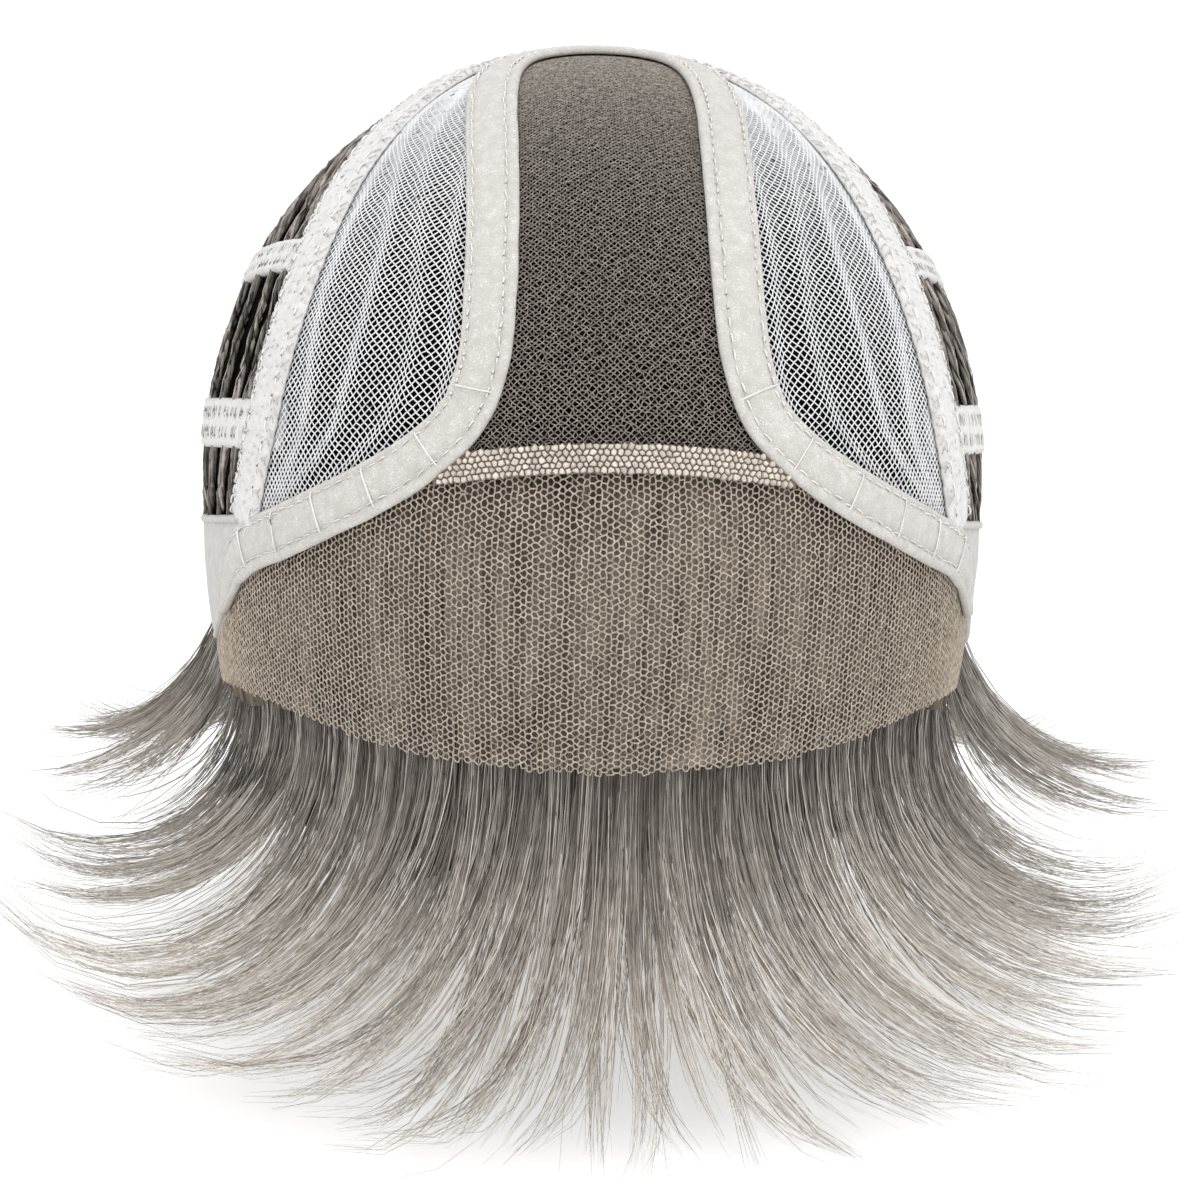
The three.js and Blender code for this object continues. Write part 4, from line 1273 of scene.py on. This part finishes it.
def weft_line(row):
    """A line between the one beside the ribbon and the one over the nape."""
    to_nape = (row / (WEFT_COUNT - 1)) ** WEFT_CROWDING
    foot = weft_foot(WEFT_FRONT_FOOT + (WEFT_NAPE_FOOT - WEFT_FRONT_FOOT) * to_nape)
    front = even_points(beside(bare_ribbon, -WEFT_BEHIND_RIBBON), WEFT_GUIDES + 1)
    spots = on_cap(front + (nape_line() - front) * to_nape)[1:-1]
    line = cap_line(np.concatenate([[foot * (-1, 1, 1)], spots, [foot]]), 1.0)
    return even_points(line, WEFT_POINTS)


def lane(run, place):
    """Places along a line, for noise that differs from line to line."""
    return np.stack([run, np.full(len(run), float(place))], -1)


def weft_piece(row):
    line = weft_line(row)
    across = band_frame(line)
    normal = cap_normal(line)
    run = np.linspace(0, length_of(line), len(line))
    wobble = 0.35 * noise(lane(run, 9 * row), 9.0, 51)
    plies = []
    for k in range(WEFT_PLIES):
        sway = 1.2 * noise(lane(run, row + 3 * k), 8.0, 52)
        turn = 2 * np.pi * (run / PLY_TWIST + k / WEFT_PLIES) + sway
        spin = across * (PLY_ACROSS * np.cos(turn) + wobble)[:, None]
        spin = spin + normal * (PLY_UP * np.sin(turn) + PLY_LIFT)[:, None]
        plies.append(on_cap(line) + spin)
    plies = np.stack(plies)
    thick = PLY_RADIUS + PLY_UNEVEN * noise(plies, 3.0, 54)
    turn = 2 * np.pi * run / SEWING_TWIST
    sewing = line + across * (SEWING_ACROSS * np.sin(turn) + wobble)[:, None]
    sewing = sewing + normal * (SEWING_LIFT + SEWING_UP * np.abs(np.cos(turn)))[:, None]
    thin = np.full((1, len(run)), SEWING_RADIUS)
    points, faces = joined([tubes(plies, thick, THREAD_SIDES), tubes(sewing[None], thin, THREAD_SIDES)])
    streak = 0.5 + 0.35 * noise(plies, 2.5, 53)
    streak = streak + dice.normal(0, 0.2, (WEFT_PLIES, 1)) + dice.normal(0, 0.12, thick.shape)
    streak = np.repeat(np.clip(streak, 0, 1).reshape(-1, 1), THREAD_SIDES, axis=0)
    tints = WEFT_DARK + (WEFT_LIGHT - WEFT_DARK) * streak ** 1.4
    tints = np.concatenate([tints, np.tile(WEFT_SEWING, (THREAD_SIDES * len(run), 1))])
    return new_piece(f"weft_cord_{row + 1:02d}", points, faces, tints)


for row in range(WEFT_COUNT):
    dress(weft_piece(row), WEFT_CORD, "weft", f"weft_{row + 1:02d}")

# %% [markdown]
# ## Hair
# Inside the cap the hair lies flat, so a streaked bowl is enough behind the nets; away from the
# lace it is painted near black, as shade. Under the rim it shows strand by strand. A real wig has
# tens of thousands of hairs; some thousands of thin tubes do, if they gather into wisps and the
# wisps into locks, as brushed hair does. Every strand bends from hanging along the cap to its
# flicked tip. Its colour runs from a dark root, darkened more with painted shade, to silver and dims
# a little at the tip. A short, ragged skirt of hair behind the strands closes the gaps at their
# roots; it too has painted shade at the root.

# %% Hair inside the cap
LACE_END = 81.5
LACE_CORNER = 12.0
BOWL_COLUMNS = 240
BOWL_ROWS = 15
# Heights of the bowl's outer and inner side, and how much higher it lies behind the open wefts.
BOWL_OUTER = -2.6
BOWL_INNER = -5.8
BOWL_RELIEF = 0.5
OPEN_RISE = 2.2
OPEN_PITCHES = (-90, 112)
# Behind the lace, below the seam, the hair is painted lit: over this height it goes from partly to wholly
# its own taupe, out of the painted shade of the rest of the bowl.
LIT_HEIGHT = 14.0
LIT_LEAST = 0.55
LIT_MORE = 0.45
LIT_END = (84.0, 6.0)
# Painted shade: wherever it is not lit behind the lace, the bowl is coloured near black, as the shade inside
# the cap.
HAIR_SHADE = linear((22, 19, 17))
# Painted shade: the hair seen between the wefts is painted black where the sides lie in shade, and greyer at
# the back.
BACK_START = 105.0
BACK_REACH = 45.0
BACK_LIFT = 4.0
HAIR_TAUPE = linear((120, 110, 100))
HAIR_MIST = linear((178, 165, 152))
TAUPE_DARK = 0.45


def rim_height(bearing):
    """Height of the rim that the hair leaves the cap under."""
    turn = np.abs((np.asarray(bearing, float) + 180) % 360 - 180)
    lace = section(LACE_SECTIONS, 1, turn)
    corner = section(LACE_SECTIONS, 1, turn + LACE_CORNER)
    return np.where(turn < LACE_END, np.minimum(lace, corner), section(BAND_SECTIONS, 1, turn))


def hair_bowl():
    turn = np.linspace(-180, 180, BOWL_COLUMNS, endpoint=False)
    rim = wall_point(turn, rim_height(turn))
    tilt = np.arctan2(rim[:, 2], np.hypot(rim[:, 0], rim[:, 1]))
    flat = rim * (1, 1, 0)
    flat /= np.linalg.norm(flat, axis=1, keepdims=True)
    share = np.linspace(0.02, 1, BOWL_ROWS)[:, None]
    rise = np.pi / 2 + (tilt - np.pi / 2) * share
    way = flat * np.cos(rise)[..., None] + np.array([0, 0, 1.0]) * np.sin(rise)[..., None]
    spots = on_cap(way)
    comb = np.stack(np.broadcast_arrays(turn / 0.9 + 3 * np.sin(3 * share), 2.2 * share), -1)
    locks = np.stack(np.broadcast_arrays(turn / 5 + 1.5 * np.sin(2 * share), 1.2 * share), -1)
    streak = 0.6 * noise(comb, 1.0, 61) + 0.5 * noise(locks, 1.0, 62)
    pitch = pitch_of(spots)
    behind = np.clip((np.abs(spots[..., 0]) - side_of(RIBBON_LINE, pitch)) / 5, 0, 1)
    behind = np.where((pitch > OPEN_PITCHES[1]) | (pitch < OPEN_PITCHES[0]), 1, behind)
    outer = lifted(spots, BOWL_OUTER + OPEN_RISE * behind + BOWL_RELIEF * streak * (1 - behind))
    inner = lifted(spots, np.full(streak.shape, BOWL_INNER))
    at = bearing_of(spots)
    seam = section(LACE_SECTIONS, 2, at)
    below = np.clip((seam - spots[..., 2]) / LIT_HEIGHT, 0, 1)
    below = below * np.clip((LIT_END[0] - np.abs(at)) / LIT_END[1], 0, 1)
    lit = (LIT_LEAST + LIT_MORE * below) * (below > 0)
    mix = np.clip(0.55 + 0.5 * streak, 0, 1)[..., None]
    taupe = HAIR_TAUPE * TAUPE_DARK + (HAIR_MIST - HAIR_TAUPE * TAUPE_DARK) * mix
    back = np.clip((np.abs(at) - BACK_START) / BACK_REACH, 0, 1)[..., None]
    # Painted shade everywhere but behind the lace, lifted toward the back.
    dark = HAIR_SHADE * (0.6 + 0.8 * mix) * (1 + BACK_LIFT * back)
    tint = dark + (taupe - dark) * lit[..., None]
    poles = np.array([[0, 0, CROWN_HEIGHT + BOWL_OUTER], [0, 0, CROWN_HEIGHT + BOWL_INNER]])
    points = np.concatenate([np.concatenate([outer, inner[::-1]]).reshape(-1, 3), poles])
    tints = np.concatenate([np.concatenate([tint, tint[::-1]]).reshape(-1, 3), tint[0, :2]])
    last = 2 * BOWL_ROWS * BOWL_COLUMNS
    ring = np.arange(BOWL_COLUMNS)
    after = (ring + 1) % BOWL_COLUMNS
    top = np.stack([np.full(BOWL_COLUMNS, last), ring, after], -1)
    end = last - BOWL_COLUMNS
    bottom = np.stack([np.full(BOWL_COLUMNS, last + 1), end + after, end + ring], -1)
    faces = [ring_faces(2 * BOWL_ROWS, BOWL_COLUMNS)[:, ::-1], top, bottom]
    return new_piece("hair_inside", points, faces, tints)


dress(hair_bowl(), HAIR_FLAT, "hair", "hair")

# %% Strands under the rim
# Each row of a lock: bearing, length, flick in degrees, sweep in degrees, width.
LOCKS = np.array([
    (-170, 84, 96, -3, 28), (-152, 86, 100, -4, 28), (-135, 82, 106, -5, 28), (-118, 76, 116, 3, 26),
    (-102, 56, 112, 12, 22), (-87, 59, 94, 3, 20), (-70, 76, 122, -11, 20), (-58, 76, 110, -11, 21),
    (-46, 102, 146, -8, 24), (-34, 100, 128, -8.5, 25), (-21, 104, 124, -10, 26), (-8, 106, 114, -7, 26),
    (3, 95, 88, -2, 22), (11, 96, 92, 6, 24), (22, 96, 100, 9.5, 25), (36, 96, 104, 8, 26),
    (49, 89, 98, 10.5, 24), (62, 85, 106, 10.5, 22), (75, 84, 116, 5, 20), (88, 71, 98, -4, 20),
    (102, 65, 112, -14, 22), (118, 78, 116, -3, 26), (135, 84, 106, 5, 28), (152, 86, 100, 4, 28),
    (171, 86, 96, 3, 28),
], float)
# Hair leaves the rim turned inward, except at the temples, where it stands off beside the lace.
ROOT_TURN = -12.0
TEMPLE_TURN = 24.0
TEMPLE_AT = 93.0
TEMPLE_WIDTH = 12.0
LOCK_BEND = 1.25
LOCK_DRIFT = 4.0
STRAND_STEPS = 8
FINE_STEPS = 5


def strand_paths(bearing, rise, depth, length, flick, sweep, reach):
    """Paths that hang along the cap and then bend outward; reach is the share of the way they go."""
    place = lifted(wall_point(bearing, rim_height(bearing) + rise), depth)
    turn = np.radians(sweep)
    root = ROOT_TURN + TEMPLE_TURN * np.exp(-((np.abs(bearing) - TEMPLE_AT) / TEMPLE_WIDTH) ** 2)
    paths = [place]
    total = STRAND_STEPS * FINE_STEPS
    for step in range(total):
        share = reach * (step + 0.5) / total
        heading = np.radians(bearing) + turn * share
        bend = np.radians(root + (flick - root) * share ** LOCK_BEND)
        flat = [CAP_HALF_WIDTH * np.sin(heading), -CAP_HALF_LENGTH * np.cos(heading), 0 * heading]
        out = np.stack(flat, -1)
        out /= np.linalg.norm(out, axis=-1, keepdims=True)
        across = np.stack([-out[..., 1], out[..., 0], out[..., 2]], -1)
        way = out * np.sin(bend)[..., None] + across * (LOCK_DRIFT * np.sin(turn) * share)[..., None]
        way[..., 2] -= np.cos(bend)
        place = place + way * (length * reach / total)[..., None]
        if (step + 1) % FINE_STEPS == 0:
            paths.append(place)
    return np.stack(paths, axis=-2)


print("locks:", len(LOCKS), "from a rim at", float(rim_height(0.0)), "mm in front")

# %% Wisps and strands
# Where hair fills the room between two locks, and how much of a lock's way it goes.
FILLED_FRONT = (-16.0, 44.0)
FILLED_BACK = 95.0
PARTING = (-56.0, -48.0)
FILLER_CUT = 0.94
SIDE_FILLER_CUT = 0.78
PARTING_CUT = 0.5
STRAND_RADIUS = 0.15
STRAND_RADII = (0.7, 1.1)
TIP_TAPER = 0.45
MM_PER_DEGREE = 1.6
# How far strands go along the way of their lock: the longest, and how much less the shortest.
LONGEST = 1.06
SHORTENING = 0.5
# Wisps in a lock: share of its width, depths, lengths, chance turns in degrees, hold of the lock.
LOCK_FILL = 0.75
WISP_RISE = 6.0
WISP_DEPTHS = (-5.2, -2.9)
WISP_LENGTHS = (0.88, 1.03)
WISP_FLICK = 4.0
WISP_SWEEP = 1.6
WISP_HOLD = (0.6, 0.94)
LOCK_RISE = 6.5
LOCK_DEPTH = -4.0
# Strands in a wisp, most of them held by it and a few loose.
STRAND_RISES = (3.0, 9.0)
STRAND_DEPTHS = (-6.4, -2.4)
STRAND_SCATTER = 0.75
STRAND_FLICK = 2.2
STRAND_HOLD = (0.55, 0.95)
LOOSE_SHARE = 0.07
LOOSE_HOLD = 0.15
LOOSE_STRAY = 3.5
HELD_STRAY = 0.5
HAIR_DARK = linear((114, 104, 94))
HAIR_SILVER = linear((242, 236, 228))
# Painted shade: strands are darker near the root, where the rim and the hair around them shade them, and
# clear of it after this share of the way.
SHADE_REACH = 0.42
# A strand's tone rises from the root up to a share of the way and falls again near the tip.
TONE_START = 0.2
TONE_RISE = 0.7
TONE_TOP = 0.6
TIP_START = 0.75
TIP_FALL = 0.6
# Some strands are silver almost from the root and carry less painted root shade, and the hair at the temples
# is darker.
SILVER_SHARE = 0.33
SILVER_TONE = 0.42
SILVER_ROOT = 0.75
SHADED_ROOT = 0.34
TEMPLE_START = 40.0
TEMPLE_REACH = 30.0
TEMPLE_SHADE = 0.2


def with_fillers(locks):
    """The locks, and between each of them and the next one round the cap one that is cut shorter."""
    after = np.roll(locks, -1, axis=0)
    after[-1, 0] += 360
    between = (locks + after) / 2
    turn = between[:, 0]
    full = ((turn > FILLED_FRONT[0]) & (turn < FILLED_FRONT[1])) | (np.abs(turn) > FILLED_BACK)
    parted = (turn > PARTING[0]) & (turn < PARTING[1])
    cut = np.where(full, FILLER_CUT, np.where(parted, PARTING_CUT, SIDE_FILLER_CUT))
    whole = np.column_stack([locks, np.ones(len(locks))])
    return np.concatenate([whole, np.column_stack([between, cut])])


def drawn_to(paths, guides, hold, share, power):
    """Paths drawn toward their guides, more and more toward the tip."""
    return paths + (guides - paths) * (hold[..., None] * share ** power)[..., None]


def hair_strands(locks, wisps, strands):
    """Paths, radii and colours of the strands of some locks."""
    shape = (len(locks), wisps, strands)
    size = (len(locks), wisps, 1)
    ones = np.ones(shape)
    bearing, length, flick, sweep, width, cut = (locks[:, k, None, None] for k in range(6))
    spread = LOCK_FILL * width / MM_PER_DEGREE
    reach = cut * (LONGEST - SHORTENING * dice.random(shape) ** 1.5)
    share = reach[..., None] * np.linspace(0, 1, STRAND_STEPS + 1)

    place = np.linspace(-0.5, 0.5, wisps)[None, :, None] + dice.normal(0, 0.06, size)
    wisp_bearing = bearing + spread * place
    wisp_depth = dice.uniform(*WISP_DEPTHS, size)
    wisp_length = length * dice.uniform(*WISP_LENGTHS, size)
    wisp_flick = flick + dice.normal(0, WISP_FLICK, size)
    wisp_sweep = sweep + dice.normal(0, WISP_SWEEP, size)
    lock = (bearing, LOCK_RISE, LOCK_DEPTH, length, flick, sweep)
    lock_path = strand_paths(*(value * ones for value in lock), reach)
    wisp = (wisp_bearing, WISP_RISE, wisp_depth, wisp_length, wisp_flick, wisp_sweep)
    wisp_path = strand_paths(*(value * ones for value in wisp), reach)
    wisp_path = drawn_to(wisp_path, lock_path, dice.uniform(*WISP_HOLD, size) * ones, share, 1.6)

    strand_depth = np.clip(wisp_depth + dice.normal(0, 0.8, shape), *STRAND_DEPTHS)
    strand_bearing = wisp_bearing + dice.normal(0, STRAND_SCATTER, shape) * spread / wisps
    strand_rise = dice.uniform(*STRAND_RISES, shape)
    strand_flick = wisp_flick + dice.normal(0, STRAND_FLICK, shape)
    strand_sweep = wisp_sweep + dice.normal(0, 1, shape)
    paths = strand_paths(strand_bearing, strand_rise, strand_depth, wisp_length * ones, strand_flick,
                         strand_sweep, reach)
    loose = dice.random(shape) < LOOSE_SHARE
    hold = np.where(loose, LOOSE_HOLD, dice.uniform(*STRAND_HOLD, shape))
    paths = drawn_to(paths, wisp_path, hold, share, 1.1)
    stray = dice.normal(0, 1, shape + (3,)) * np.where(loose, LOOSE_STRAY, HELD_STRAY)[..., None]
    paths = paths + stray[..., None, :] * (share ** 2)[..., None]

    taper = np.clip((reach[..., None] - share) / TIP_TAPER, 0.05, 1)
    radii = STRAND_RADIUS * taper ** 0.6 * dice.uniform(*STRAND_RADII, shape)[..., None]
    silver = dice.random(shape) < SILVER_SHARE
    tone = dice.normal(0.3, 0.1, size) + dice.normal(0, 0.2, shape) + SILVER_TONE * silver
    fade = TONE_RISE * np.minimum(share, TONE_TOP) - TIP_FALL * np.maximum(share - TIP_START, 0) - TONE_START
    tone = np.clip(tone[..., None] + fade, 0, 1)[..., None]
    tint = HAIR_DARK + (HAIR_SILVER - HAIR_DARK) * tone
    # Painted shade near the root, less of it on silver strands.
    root = np.where(silver, SILVER_ROOT, SHADED_ROOT)[..., None]
    temple = np.clip((np.abs(bearing) - TEMPLE_START) / TEMPLE_REACH, 0, 1)[..., None]
    shade = (root + (1 - root) * np.clip(share / SHADE_REACH, 0, 1)) * (1 - TEMPLE_SHADE * temple)
    tint = tint * shade[..., None]
    return paths.reshape(-1, STRAND_STEPS + 1, 3), radii.reshape(-1, STRAND_STEPS + 1), tint.reshape(-1, 3)


all_locks = with_fillers(LOCKS)
lock_turn = (all_locks[:, 0] + 180) % 360 - 180
TEMPLE_LOCKS = -105.0
HAIR_PARTS = [
    ("hair_front_left", (lock_turn < 0) & (lock_turn > TEMPLE_LOCKS), 6, 24),
    ("hair_front_right", (lock_turn > 0) & (lock_turn < -TEMPLE_LOCKS), 6, 24),
    ("hair_back_left", lock_turn < TEMPLE_LOCKS, 5, 22),
    ("hair_back_right", lock_turn > -TEMPLE_LOCKS, 5, 22),
]
for part_name, chosen, wisps, strands in HAIR_PARTS:
    lines, radii, tints = hair_strands(all_locks[chosen], wisps, strands)
    spots, faces = tubes(lines, radii, THREAD_SIDES)
    part = new_piece(part_name, spots, faces, np.repeat(tints, THREAD_SIDES, axis=0))
    dress(part, HAIR_STRAND, "hair", "hair")

# %% Short hair under the locks
UNDER_COLUMNS = 360
UNDER_RISE = 8.0
UNDER_DEPTHS = (-5.0, -6.2)
# The share of a lock's way that the short hair goes, and how much more in front.
UNDER_REACH = 0.17
UNDER_FRONT = 0.1
FRONT_END = 70.0
FRONT_FADE = 20.0
UNDER_DARK = linear((84, 77, 71))
UNDER_LIGHT = linear((164, 155, 146))
# Painted shade: at its root the short hair keeps this share of its colour.
UNDER_ROOT = 0.7


def lock_value(column, bearing):
    """A column of the locks between their bearings, all the way round."""
    return np.interp(bearing, LOCKS[:, 0], LOCKS[:, column], period=360)


def under_hair():
    turn = np.linspace(-180, 180, UNDER_COLUMNS, endpoint=False)
    front = np.clip((FRONT_END - np.abs(turn)) / FRONT_FADE, 0, 1)
    uneven = 0.04 * noise(lane(turn, 0), 2.2, 71)
    ragged = UNDER_REACH + UNDER_FRONT * front + uneven + 0.05 * dice.random(UNDER_COLUMNS)
    rise = np.full(UNDER_COLUMNS, UNDER_RISE)
    lock = [lock_value(column, turn) for column in (1, 2, 3)]
    layers = []
    for depth in UNDER_DEPTHS:
        paths = strand_paths(turn, rise, np.full(UNDER_COLUMNS, depth), *lock, ragged)
        layers.append(paths.transpose(1, 0, 2))
    points = np.concatenate([layers[0], layers[1][::-1]])
    rows = 2 * (STRAND_STEPS + 1)
    faces = ring_faces(rows, UNDER_COLUMNS)[:, ::-1]
    ring = np.arange(UNDER_COLUMNS)
    after = (ring + 1) % UNDER_COLUMNS
    last = (rows - 1) * UNDER_COLUMNS
    rim = np.stack([after, ring, ring + last, after + last], -1)[:, ::-1]
    streak = np.clip(0.45 + 0.5 * noise(lane(turn, 0), 0.9, 72), 0, 1)
    tint = UNDER_DARK + (UNDER_LIGHT - UNDER_DARK) * streak[:, None]
    share = np.linspace(0, 1, STRAND_STEPS + 1)
    # Painted shade, darkest at the root.
    lift = UNDER_ROOT + (1 - UNDER_ROOT) * np.concatenate([share, share[::-1]])
    return new_piece("hair_under", points, [faces, rim], tint * lift[:, None, None])


dress(under_hair(), HAIR_FLAT, "hair", "hair")

# %% [markdown]
# ## Floor
# The floor comes after the hair, because only the finished strands say how low it has to be. It is a
# wide, pale plane just under the lowest tip. It glows a little, like a studio table lit from below, so
# the background is white and the shadow stays faint.

# %% Studio floor
FLOOR_SIZE = 12.0
FLOOR_GAP = 0.002
FLOOR_GLOW = 0.55

bpy.ops.mesh.primitive_plane_add(size=FLOOR_SIZE, location=(0, 0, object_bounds()[0][2] - FLOOR_GAP))
floor = bpy.context.object
floor.name = "studio_floor"
floor_paint = bpy.data.materials.new("studio_white")
floor_paint.use_nodes = True
floor_skin = floor_paint.node_tree.nodes["Principled BSDF"]
floor_skin.inputs["Base Color"].default_value = (0.6, 0.6, 0.6, 1)
floor_skin.inputs["Roughness"].default_value = 0.9
floor_skin.inputs["Emission Color"].default_value = (1, 1, 1, 1)
floor_skin.inputs["Emission Strength"].default_value = FLOOR_GLOW
floor.data.materials.append(floor_paint)
floor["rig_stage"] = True
print("floor at", round(floor.location.z, 4))

# %% [markdown]
# ## Flat patterns
# Each cloth panel was cut flat and then sewn and stretched into the bowl. No flat patterns are built here.

print("no flat patterns built")

# %% Finish
total = sum(triangles(o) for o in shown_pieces() if o.type == "MESH" and "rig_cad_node" not in o)
print("triangles in all:", total)
